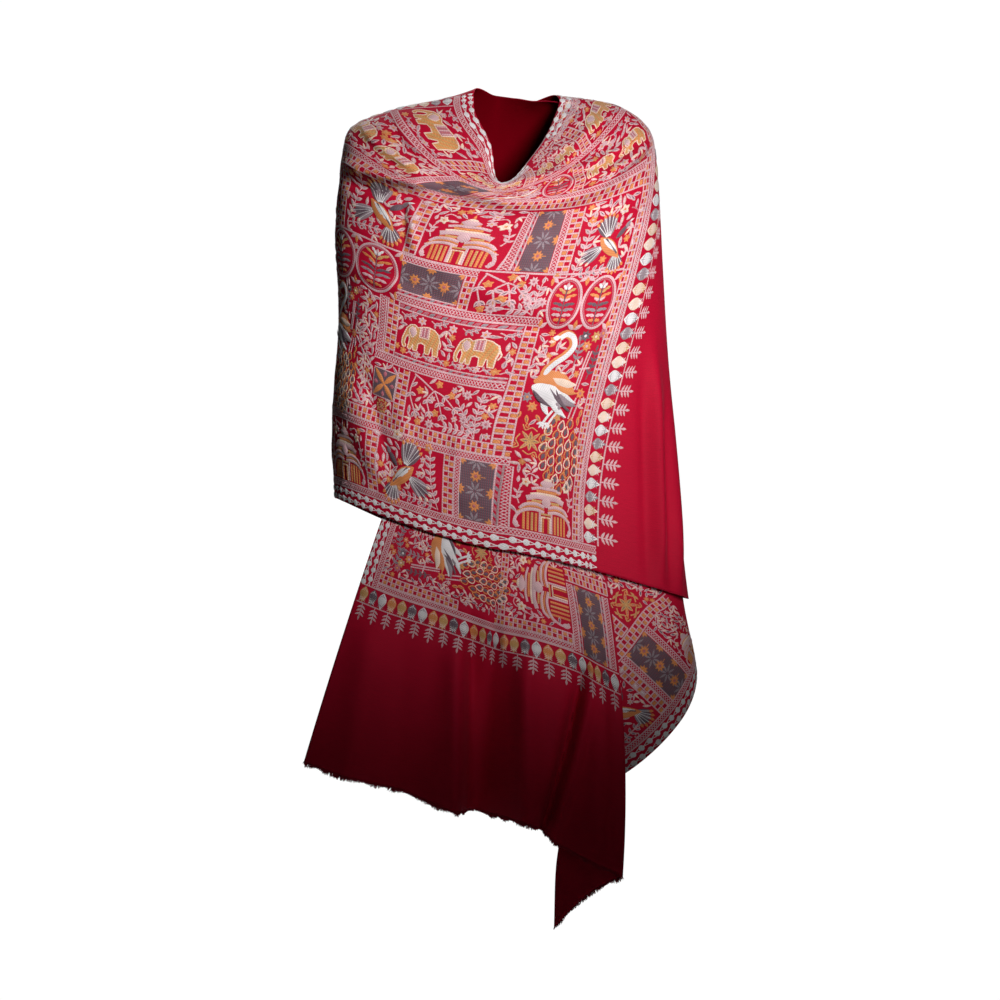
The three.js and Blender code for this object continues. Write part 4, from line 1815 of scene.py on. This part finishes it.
def weave_group() -> NodeTree:
    """A fine twill of soft wool: how high the yarn stands, and a shade that changes over the cloth.

    Returns:
        The group.
    """
    inputs = {"Pitch": 0.0011, "Mottle": 0.32}
    group = new_group("wool_weave", inputs, {"Height": "NodeSocketFloat", "Shade": "NodeSocketFloat"})
    nodes = Nodes(group)
    given = nodes.add("NodeGroupInput")
    where = nodes.add("ShaderNodeUVMap", uv_map="Cloth").outputs["UV"]
    parts = nodes.add("ShaderNodeSeparateXYZ", inputs={"Vector": where})
    slant = nodes.math("ADD", parts.outputs["X"], parts.outputs["Y"])
    turn = nodes.math("MULTIPLY", nodes.math("DIVIDE", slant, given.outputs["Pitch"]), 2 * math.pi)
    ribs = nodes.math("MULTIPLY_ADD", nodes.math("SINE", turn), 0.25, 0.5)
    yarn = nodes.noise(where, 900.0, 3.0)
    fuzz = nodes.noise(where, 2600.0, 2.0)
    height = nodes.math("ADD", nodes.math("MULTIPLY", ribs, 0.35), nodes.math("ADD", yarn, fuzz))
    slub = nodes.add("ShaderNodeMapping", inputs={"Vector": where, "Scale": (1.0, 14.0, 1.0)}).outputs[0]
    cloud = nodes.math("ADD", nodes.noise(where, 9.0, 3.0), nodes.noise(slub, 60.0, 2.0))
    cloud = nodes.math("SUBTRACT", cloud, 1.0)
    shade = nodes.math("MULTIPLY_ADD", cloud, given.outputs["Mottle"], 1.0)
    grain = nodes.math("MULTIPLY_ADD", nodes.math("SUBTRACT", yarn, 0.5), 0.9, shade)
    nodes.add("NodeGroupOutput", inputs={"Height": height, "Shade": grain})
    return group


def stitch_group() -> NodeTree:
    """A row of chain stitch: how high each loop stands, and a colour factor that is darker between loops as
    painted shade, with random wear patches.

    Returns:
        The group.
    """
    inputs = {"Stitch": STITCH_LENGTH}
    group = new_group("chain_stitch", inputs, {"Height": "NodeSocketFloat", "Shade": "NodeSocketFloat"})
    nodes = Nodes(group)
    given = nodes.add("NodeGroupInput")
    where = nodes.add("ShaderNodeUVMap", uv_map="Cloth").outputs["UV"]
    parts = nodes.add("ShaderNodeSeparateXYZ", inputs={"Vector": where})
    away = nodes.math("ABSOLUTE", parts.outputs["Y"])
    run = nodes.math("ADD", parts.outputs["X"], nodes.math("MULTIPLY", away, 1.3))
    part = nodes.math("FRACT", nodes.math("DIVIDE", run, given.outputs["Stitch"]))
    loop = nodes.math("SINE", nodes.math("MULTIPLY", part, math.pi))
    fibre = nodes.noise(where, 1500.0, 2.0)
    height = nodes.math("MULTIPLY_ADD", loop, 0.8, nodes.math("MULTIPLY", fibre, 0.4))
    wear = nodes.noise(nodes.add("ShaderNodeTexCoord").outputs["Object"], 55.0, 2.0)
    # The loop term darkens the colour between loops, which is painted shade in the gaps; the wear noise is
    # random tone of the yarn.
    tone = nodes.math(
        "ADD", nodes.math("MULTIPLY_ADD", loop, 0.32, 0.72), nodes.math("MULTIPLY_ADD", wear, 0.5, -0.25)
    )
    nodes.add("NodeGroupOutput", inputs={"Height": height, "Shade": tone})
    return group


def tinted(nodes: Nodes, colour: Triple, shade: NodeSocket) -> NodeSocket:
    """A colour made lighter and darker by a shade that is 1 where it is plain."""
    return nodes.add("ShaderNodeVectorMath", operation="SCALE", inputs={0: colour, "Scale": shade}).outputs[0]


def new_material(name: str, values: dict[str, Any]) -> tuple[Material, Nodes, Node]:
    """Starts a material.

    Args:
        name: its name.
        values: its shader's own values, by socket.

    Returns:
        The material, its nodes and its shader.
    """
    material = bpy.data.materials.new(name)
    material.use_nodes = True
    shader = material.node_tree.nodes["Principled BSDF"]
    for label, value in values.items():
        shader.inputs[label].default_value = value
    return material, Nodes(material.node_tree), shader


@dataclass(frozen=True)
class Relief:
    """How strongly the weave or the stitches stand out, and their depth in metres."""

    strength: float
    depth: float

    def dress(self, nodes: Nodes, shader: Node, group: Node, colour: Triple) -> None:
        """Gives a shader a group's relief, and a colour with the group's shade.

        Args:
            nodes: the material's nodes.
            shader: its shader.
            group: the weave or the stitches.
            colour: linear red, green and blue.
        """
        nodes.give(shader.inputs["Base Color"], tinted(nodes, colour, group.outputs["Shade"]))
        inputs = {"Height": group.outputs["Height"], "Strength": self.strength, "Distance": self.depth}
        nodes.give(shader.inputs["Normal"], nodes.add("ShaderNodeBump", inputs=inputs).outputs[0])


@dataclass(frozen=True)
class Wool:
    """Soft crimson wool with a brushed nap."""

    name: str = "crimson_wool"
    colour: Triple = CRIMSON
    roughness: float = 0.7
    sheen: float = 0.12
    shine: float = 0.12
    relief: Relief = Relief(0.4, 0.0004)
    sheen_roughness: float = 0.4
    sheen_tint: tuple[float, float, float, float] = (1.0, 0.2, 0.3, 1.0)

    def make(self, weave: NodeTree) -> Material:
        """Builds the material.

        Args:
            weave: the group for its weave.

        Returns:
            The material.
        """
        values = {"Roughness": self.roughness, "Specular IOR Level": self.shine, "Sheen Weight": self.sheen}
        values |= {"Sheen Roughness": self.sheen_roughness, "Sheen Tint": self.sheen_tint}
        material, nodes, shader = new_material(self.name, values)
        self.relief.dress(nodes, shader, nodes.add("ShaderNodeGroup", node_tree=weave), self.colour)
        return material


@dataclass(frozen=True)
class Yarn:
    """Fine twisted yarn, for stitches and for loose ends."""

    name: str
    colour: Triple
    roughness: float = 0.55
    sheen: float = 0.15
    shine: float = 0.35
    relief: Relief = Relief(0.6, 0.0006)

    def make(self, stitch: NodeTree, length: float = STITCH_LENGTH) -> Material:
        """Builds the material.

        Args:
            stitch: the group for its stitches.
            length: how long they are, in metres.

        Returns:
            The material.
        """
        values = {"Roughness": self.roughness, "Specular IOR Level": self.shine, "Sheen Weight": self.sheen}
        material, nodes, shader = new_material(self.name, values)
        row = nodes.add("ShaderNodeGroup", node_tree=stitch, inputs={"Stitch": length})
        self.relief.dress(nodes, shader, row, self.colour)
        return material


@dataclass
class Finishes:
    """Every material of the stole."""

    wool: Material = field(init=False)
    inside_painted_shade: Material = field(init=False)
    ends: Material = field(init=False)
    threads: dict[Thread, Material] = field(init=False)

    def __post_init__(self) -> None:
        """Makes the groups once and every material from them."""
        weave, stitch = weave_group(), stitch_group()
        self.wool = Wool().make(weave)
        # The inner faces' darker wool, with no sheen and no shine, is painted shade.
        self.inside_painted_shade = Wool("wrong_side_wool", PAINTED_SHADE_CRIMSON, 0.85, 0.0, 0.0).make(weave)
        self.ends = Yarn("fringe_yarn", CRIMSON, 0.8, 0.0).make(stitch, TWIST_LENGTH)
        self.threads = {
            thread: Yarn(f"thread_{thread.name.lower()}", thread.value).make(stitch) for thread in Thread
        }


# -------- pieces


def settle(piece: Object, nodes: tuple[str, ...]) -> Object:
    """Joins a piece to the stole's body and reports it.

    Args:
        piece: the piece.
        nodes: the solids it stands for.

    Returns:
        The same piece.
    """
    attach(piece, "root")
    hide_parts(*nodes)
    LOG.info("%s: %d faces", piece.name, len(piece.data.polygons))
    return piece


@dataclass
class Layer:
    """A stretch of the stole, made as a closed shell on its own grid.

    flat_u and flat_v are the metres of cloth to one unit of the grid's columns and rows.
    """

    name: str
    nodes: tuple[str, ...]
    slot: str
    columns: int
    rows: int
    flat_u: float = MM
    flat_v: float = MM

    def __post_init__(self) -> None:
        """Works out the grid once, for the shell and for what lies on it."""
        self.cloth = self.grid()

    def grid(self) -> ClothGrid:
        """The stretch's grid, which each kind of layer gives."""
        raise NotImplementedError

    def build(self, finishes: Finishes) -> Object:
        """Builds the shell, dresses it and joins it to the body."""
        return settle(shell(self.name, self.cloth, finishes, self.flat_u, self.flat_v), self.nodes)


@dataclass
class OuterLayer(Layer):
    """The outer layer: end A and the embroidered field across the front."""

    name: str = "outer_cloth"
    nodes: tuple[str, ...] = ("front_cross", "end_a_side")
    slot: str = "patchwork_cloth"
    columns: int = 203
    rows: int = 176

    def grid(self) -> ClothGrid:
        """The grid, from the fringe of end A to the seam at the left side."""
        along, drop = np.linspace(0, LEFT_SEAM, self.columns), np.linspace(0, STOLE_WIDTH, self.rows)
        return ClothGrid(outer_point, along, drop)

    def edge(self, across: Array) -> tuple[Array, Array]:
        """The fringed edge at shares of the width, and the line just before it."""
        return outer_point(0.0, across * STOLE_WIDTH), outer_point(FRINGE_BACK, across * STOLE_WIDTH)


@dataclass
class InnerLayer(Layer):
    """The plain middle round the back and the side that drops to the tuck."""

    name: str = "inner_cloth"
    nodes: tuple[str, ...] = ("back_field", "side_drop")
    slot: str = "plain_cloth"
    columns: int = 150
    rows: int = 190
    flat_u: float = 0.003
    flat_v: float = 0.75

    def grid(self) -> ClothGrid:
        """The grid, from the tuck round the back to the seam at the left side."""
        turn, down = np.linspace(TUCK_TURN, BACK_TURN, self.columns), np.linspace(0, 1, self.rows)
        return ClothGrid(inner_point, turn, down)


@dataclass
class HangingEnd(Layer):
    """End B: its hidden top under the outer layer and the part that hangs below it."""

    name: str = "end_b_cloth"
    nodes: tuple[str, ...] = ("hanging_end",)
    slot: str = "patchwork_cloth"
    columns: int = 116
    rows: int = 280

    def grid(self) -> ClothGrid:
        """The grid, from the neck down to the fringe."""
        across, down = np.linspace(0, END_WIDTH, self.columns), np.linspace(0, END_LENGTH, self.rows)
        return ClothGrid(end_point, across, down)

    def edge(self, across: Array) -> tuple[Array, Array]:
        """The fringed edge at shares of the width, and the line just before it."""
        return hanging_point(across, END_LENGTH), hanging_point(across, END_LENGTH - FRINGE_BACK)


@dataclass
class TurnedCorner(Layer):
    """The corner of end B that is turned back behind it."""

    name: str = "corner_cloth"
    nodes: tuple[str, ...] = ("turned_corner",)
    slot: str = "plain_cloth"
    columns: int = 24
    rows: int = 36
    flat_u: float = 0.07
    flat_v: float = 0.15
    back: float = 0.98

    def grid(self) -> ClothGrid:
        """The grid, from the turned edge to the free selvedge and down to the fringe."""
        return ClothGrid(turned_point, np.linspace(0, 1, self.columns), np.linspace(0, 1, self.rows))

    def edge(self, across: Array) -> tuple[Array, Array]:
        """The fringed edge at shares of the width, and the line just before it."""
        return turned_point(across, 1.0), turned_point(across, self.back)


@dataclass
class Fringe:
    """Loose yarn ends along a cut edge, its sizes in mm.

    Each section is a share of a yarn end's length and of its thickness there.
    """

    name: str
    node: str
    seed: int
    reach: float = 8.0
    spacing: float = 0.45
    thickness: float = 1.8
    margin: float = 0.4
    sections: tuple[Pair, ...] = ((-0.2, 1.0), (0.25, 1.0), (0.65, 0.75), (1.0, 0.35))
    corners: tuple[float, ...] = (0.0, 2.1, 4.2)

    def mesh(self, edge: Array, away: Array) -> Object:
        """Makes the yarn ends, each a thin bent prism closed at both ends.

        Args:
            edge: the edge's points in mm.
            away: unit vectors out of the edge at each of them.

        Returns:
            The object, with no material yet.
        """
        rng = np.random.default_rng(self.seed)
        along = run_along(edge)
        n = int(along[-1] / self.spacing)
        where = np.linspace(self.margin, along[-1] - self.margin, n) + rng.normal(0, 0.25, n)
        root = np.stack([np.interp(where, along, edge[:, k]) for k in range(3)], axis=1)
        out = np.stack([np.interp(where, along, away[:, k]) for k in range(3)], axis=1)
        run = np.stack([np.interp(where, along, np.gradient(edge[:, k], along)) for k in range(3)], axis=1)
        side = np.cross(out, run)
        ragged = 0.72 + 0.28 * np.sin(where / 7.1 + 2 * np.sin(where / 19.0))
        length = self.reach * ragged * rng.uniform(0.5, 1.0, n)
        lean, bow, curl = (rng.normal(0, spread, n) for spread in (0.28, 0.1, 0.22))
        points, maps = [], []
        for f, thick in self.sections:
            r = thick * self.thickness / 2
            bend = f * f
            middle = root + out * (length * f)[:, None] + run * ((lean * f + curl * bend) * length)[:, None]
            middle = middle + side * (bow * bend * length)[:, None]
            for turn in self.corners:
                points.append(middle + run * (r * math.cos(turn)) + side * (r * math.sin(turn)))
                maps.append(joined(length * f, np.full(n, r * math.cos(turn))))
        first, faces = np.arange(n), []
        for k in range(len(self.sections) - 1):
            for t in range(3):
                a, b = (3 * k + t) * n, (3 * k + (t + 1) % 3) * n
                faces.append(joined(first + a, first + b, first + b + 3 * n, first + a + 3 * n))
        last = first + 3 * (len(self.sections) - 1) * n
        faces.append(joined(first + 2 * n, first + n, first))
        faces.append(joined(last, last + n, last + 2 * n))
        rows = [row for group in faces for row in group.tolist()]
        return make_mesh(self.name, np.concatenate(points) * MM, rows, np.concatenate(maps) * MM)

    def build(self, edge: Array, before: Array, finishes: Finishes) -> Object:
        """Builds the fringe, dresses it and joins it to the body.

        Args:
            edge: the edge's points in mm.
            before: the points of the cloth just before them.
            finishes: for its yarn.

        Returns:
            The object.
        """
        away = edge - before
        away /= np.linalg.norm(away, axis=1, keepdims=True)
        piece = self.mesh(edge, away)
        piece.data.materials.append(finishes.ends)
        return settle(piece, (self.node,))


def flap_point(along: Array, inward: Array) -> Array:
    """A point of the flap at the hip.

    Args:
        along: mm down its selvedge.
        inward: mm in from that selvedge.

    Returns:
        Points in mm.
    """
    turns = np.linspace(TUCK_TURN, FLAP_END_TURN, 200)
    level = ring_point(turns, FLAP_DROP, UNDER_LAYER)
    round_hip = run_along(level[:, :2])
    edge = inner_point(turns, 1.0)[:, 2]
    length = np.concatenate([[0], np.cumsum(np.hypot(np.diff(round_hip), np.diff(edge)))])
    along, inward = np.broadcast_arrays(np.asarray(along, float), np.asarray(inward, float))
    from_tuck = FLAP_LENGTH - along
    lean = math.radians(FLAP_LEAN)
    q = np.interp(from_tuck, length, round_hip) - inward * math.sin(lean)
    z = np.interp(from_tuck, length, edge) + inward * math.cos(lean)
    turn = np.interp(q, round_hip, turns)
    drop = np.full_like(turn, FLAP_DROP)
    for _ in range(FLAP_ROUNDS):
        drop = drop + ring_point(turn, drop, UNDER_LAYER)[..., 2] - z
    return ring_point(turn, drop, UNDER_LAYER)


@dataclass
class Needlework:
    """All the embroidery, kept in five books of stitches until it is sewn on. Sizes are in mm."""

    middle: float = 510.0
    ground_gap: float = 3.0
    field_clear: float = 5.6
    end_clear: float = 5.0
    hem: float = 668.0
    upper: float = 786.0
    end_edge: float = 851.0
    flap_width: float = 245.0
    flap_lines: int = 90

    def __post_init__(self) -> None:
        """Starts the books of the field's right and left, its borders, end B and the flap."""
        self.right, self.left, self.borders, self.band, self.flap = (Embroidery() for _ in range(5))

    def draw_field(self) -> None:
        """Draws the patches of the front, then the small leaves on what ground is left."""
        for patch in FRONT_PATCHES:
            patch.draw(self.right if patch.along[1] < self.middle else self.left)
        gap, clear = self.ground_gap, self.field_clear
        self.left.fill_ground((513.0, 742.0, 34.0, self.hem), gap, clear, 7, (self.right,))
        self.right.fill_ground((326.0, 513.0, 6.0, self.hem), gap, clear, 8, (self.left,))

    def draw_borders(self) -> None:
        """Draws the leaf borders beside the field, the dots along its selvedges and a long feather."""
        book = self.borders
        LeafBorder().draw(Pen(book, (300.0, self.hem), UP, NEARER), 660.0)
        LeafBorder().draw(Pen(book, (745.0, self.hem), UP, FARTHER), 636.0)
        DotBorder().draw(Pen(book, (self.upper, STOLE_WIDTH), NEARER, UP), 520.0)
        for start, length in ((self.upper, 264.0), (424.0, 158.0)):
            DotBorder().draw(Pen(book, (start, 0.0), NEARER, DOWN), length)
        edge = Pen(book, (0.0, 0.0), FARTHER, DOWN)
        # The ash line along the neck edge, from 424 to 522, is a painted highlight on the turned edge of the
        # cloth.
        edge.rule([(424, 1.5), (522, 1.5)], ASH, 2.4)
        edge.raised(0.8).leaf(552, 210, -125, 86, 10, ORANGE, bend=-4)
        edge.moved(1.5, 3, lift=1.5).leaf(552, 210, -125, 78, 6.5, SILVER, bend=-4)

    def draw_band(self) -> None:
        """Draws the band across end B, with its bird lying down, and its borders."""
        for patch in BAND_PATCHES:
            patch.draw(self.band, inward=False)
        Layout((50, 248), (712, 820), LongTailedBird, (False,)).draw_on(self.band, (248, 712), DOWN, NEARER)
        self.band.fill_ground((30.0, 458.0, 690.0, 832.0), self.ground_gap, self.end_clear, 9)
        leaves = LeafBorder(tall=29.0, colours=END_LEAVES)
        leaves.draw(Pen(self.band, (4.0, self.end_edge), FARTHER, DOWN), 454.0, 3)
        DotBorder().draw(Pen(self.band, (0.0, self.end_edge), UP, FARTHER), 170.0)

    def draw_flap(self) -> None:
        """Draws the patches of the flap at the hip and the dots along its selvedge."""
        for patch in FLAP_PATCHES:
            patch.draw_on(self.flap, (patch.along[1], patch.down[0]), NEARER, DOWN)
        self.flap.fill_ground((0.0, 236.0, 32.0, 240.0), self.ground_gap, self.end_clear, 10)
        DotBorder().draw(Pen(self.flap, (-10.0, 0.0), FARTHER, DOWN), FLAP_LENGTH)

    def hip(self) -> ClothGrid:
        """The grid of the flap at the hip, which its stitches lie on."""
        along = np.linspace(-12, FLAP_LENGTH - 2, self.flap_lines)
        return ClothGrid(flap_point, along, np.linspace(0, self.flap_width, self.flap_lines))

    def build(self, outer: ClothGrid, end: ClothGrid, finishes: Finishes) -> list[Object]:
        """Draws the whole design and sews it on.

        Args:
            outer: the outer layer.
            end: end B.
            finishes: for the threads.

        Returns:
            The stitches of the field's right and left, its borders, end B and the flap.
        """
        self.draw_field()
        self.draw_borders()
        self.draw_band()
        self.draw_flap()
        rows = (
            ("stitches_right", self.right, outer, "front_cross"),
            ("stitches_left", self.left, outer, "front_cross"),
            ("stitches_border", self.borders, outer, "front_cross"),
            ("stitches_band", self.band, end, "hanging_end"),
            ("stitches_flap", self.flap, self.hip(), "side_drop"),
        )
        sewn = []
        for name, book, cloth, node in rows:
            sewn.append(settle(book.sew(name, cloth, finishes.threads), (node,)))
        return sewn


# -------- studio


@dataclass(frozen=True)
class Lamp:
    """A light, in metres and watts: a soft square, or a spot when it has an angle in degrees."""

    name: str
    place: Triple
    aim: Triple
    power: float
    size: float
    angle: float = 0.0

    def build(self) -> None:
        """Makes the light and hangs it at its place, shining at its aim."""
        light = bpy.data.lights.new(self.name, "SPOT" if self.angle else "AREA")
        light.energy = self.power
        if self.angle:
            light.shadow_soft_size = self.size
            light.spot_size, light.spot_blend = math.radians(self.angle), 1.0
        else:
            light.size = self.size
        lamp = bpy.data.objects.new(light.name, light)
        lamp.location = self.place
        way = np.array(self.aim) - np.array(self.place)
        turn_x = math.atan2(math.hypot(way[0], way[1]), -way[2])
        lamp.rotation_euler = (turn_x, 0.0, math.atan2(-way[0], way[1]))
        bpy.context.scene.collection.objects.link(lamp)


LAMPS = (
    Lamp("key_light", (0.7, -1.85, 0.15), (0.05, 0.0, -0.25), 222.0, 0.26, 35.0),
    Lamp("fill_light", (0.9, -2.3, 0.5), (0.0, 0.0, -0.3), 1.1, 1.2),
    Lamp("low_light", (1.0, -1.7, -0.45), (0.17, -0.1, -0.68), 28.0, 0.1, 13.0),
    Lamp("back_light", (-0.4, 1.3, 0.7), (0.0, 0.0, -0.45), 14.0, 0.9),
)


@dataclass(frozen=True)
class Paper:
    """The matt pale paper of the backdrop, which the camera sees evenly lit."""

    name: str = "studio_paper"
    grey: float = 0.8
    roughness: float = 0.9
    glow: float = 1.02

    def make(self) -> Material:
        """Builds the material.

        Returns:
            The material.
        """
        values = {"Base Color": (self.grey, self.grey, self.grey, 1.0), "Roughness": self.roughness}
        material, nodes, shader = new_material(self.name, values)
        glow = nodes.add("ShaderNodeEmission", inputs={"Color": WHITE, "Strength": self.glow})
        path = nodes.add("ShaderNodeLightPath")
        mix = nodes.add("ShaderNodeMixShader")
        for socket, value in zip(
            mix.inputs, (path.outputs["Is Camera Ray"], shader.outputs[0], glow.outputs[0])
        ):
            nodes.give(socket, value)
        nodes.give(material.node_tree.nodes["Material Output"].inputs["Surface"], mix.outputs[0])
        return material


@dataclass
class Studio:
    """Floor, backdrop, lights and camera, in metres."""

    distance: float = 3.4
    plane: float = -0.04
    height: float = -0.575
    width: float = 1.42
    floor: float = -1.45
    near: float = -4.5
    bend_start: float = 4.0
    bend: float = 0.9
    bend_steps: int = 12
    top: float = 3.2
    half_width: float = 5.0
    air: float = 0.006
    sensor: float = 36.0

    def sweep(self) -> None:
        """Makes a pale floor that curves up into the backdrop."""
        profile = [(self.near, self.floor), (self.bend_start, self.floor)]
        for k in range(1, self.bend_steps + 1):
            a = k / self.bend_steps * math.pi / 2
            up = self.bend * (1 - math.cos(a))
            profile.append((self.bend_start + self.bend * math.sin(a), self.floor + up))
        profile.append((self.bend_start + self.bend, self.top))
        points = np.array([(x, y, z) for x in (-self.half_width, self.half_width) for y, z in profile])
        n = len(profile)
        faces = np.array([(k, k + n, k + n + 1, k + 1) for k in range(n - 1)])
        piece = make_mesh("studio_sweep", points, faces)
        piece.data.materials.append(Paper().make())

    def light(self) -> None:
        """Hangs the lamps and sets the faint light of the air."""
        for lamp in LAMPS:
            lamp.build()
        world = bpy.data.worlds.new("studio_air")
        world.use_nodes = True
        background = world.node_tree.nodes["Background"]
        background.inputs["Color"].default_value = WHITE
        background.inputs["Strength"].default_value = self.air
        bpy.context.scene.world = world

    def look(self) -> None:
        """Sets up the camera in front, level with the middle of the stole."""
        camera = bpy.data.cameras.new("camera")
        camera.sensor_width = self.sensor
        camera.lens = self.sensor * self.distance / self.width
        view = bpy.data.objects.new("camera", camera)
        view.location = (0.0, self.plane - self.distance, self.height)
        view.rotation_euler = (math.pi / 2, 0.0, 0.0)
        bpy.context.scene.collection.objects.link(view)
        bpy.context.scene.camera = view
        bpy.context.scene.view_settings.view_transform = "Standard"

    def build(self) -> None:
        """Puts everything up."""
        self.sweep()
        self.light()
        self.look()


def main() -> None:
    """Builds the stole and its studio, piece by piece."""
    logging.basicConfig(level=logging.INFO, format="%(message)s")
    finishes = Finishes()
    outer, inner, end, corner = OuterLayer(), InnerLayer(), HangingEnd(), TurnedCorner()
    wrap, inner_wrap, hanging, turned = (layer.build(finishes) for layer in (outer, inner, end, corner))
    across = np.linspace(0, 1, 200)
    fringes = [
        Fringe("end_a_yarn", "fringe_end_a", 3).build(*outer.edge(across), finishes),
        Fringe("end_b_yarn", "fringe_hanging_end", 4).build(*end.edge(across), finishes),
        Fringe("corner_yarn", "fringe_turned_corner", 5).build(*corner.edge(across), finishes),
    ]
    sewn = Needlework().build(outer.cloth, end.cloth, finishes)
    Studio().build()


if __name__ == "__main__":
    main()
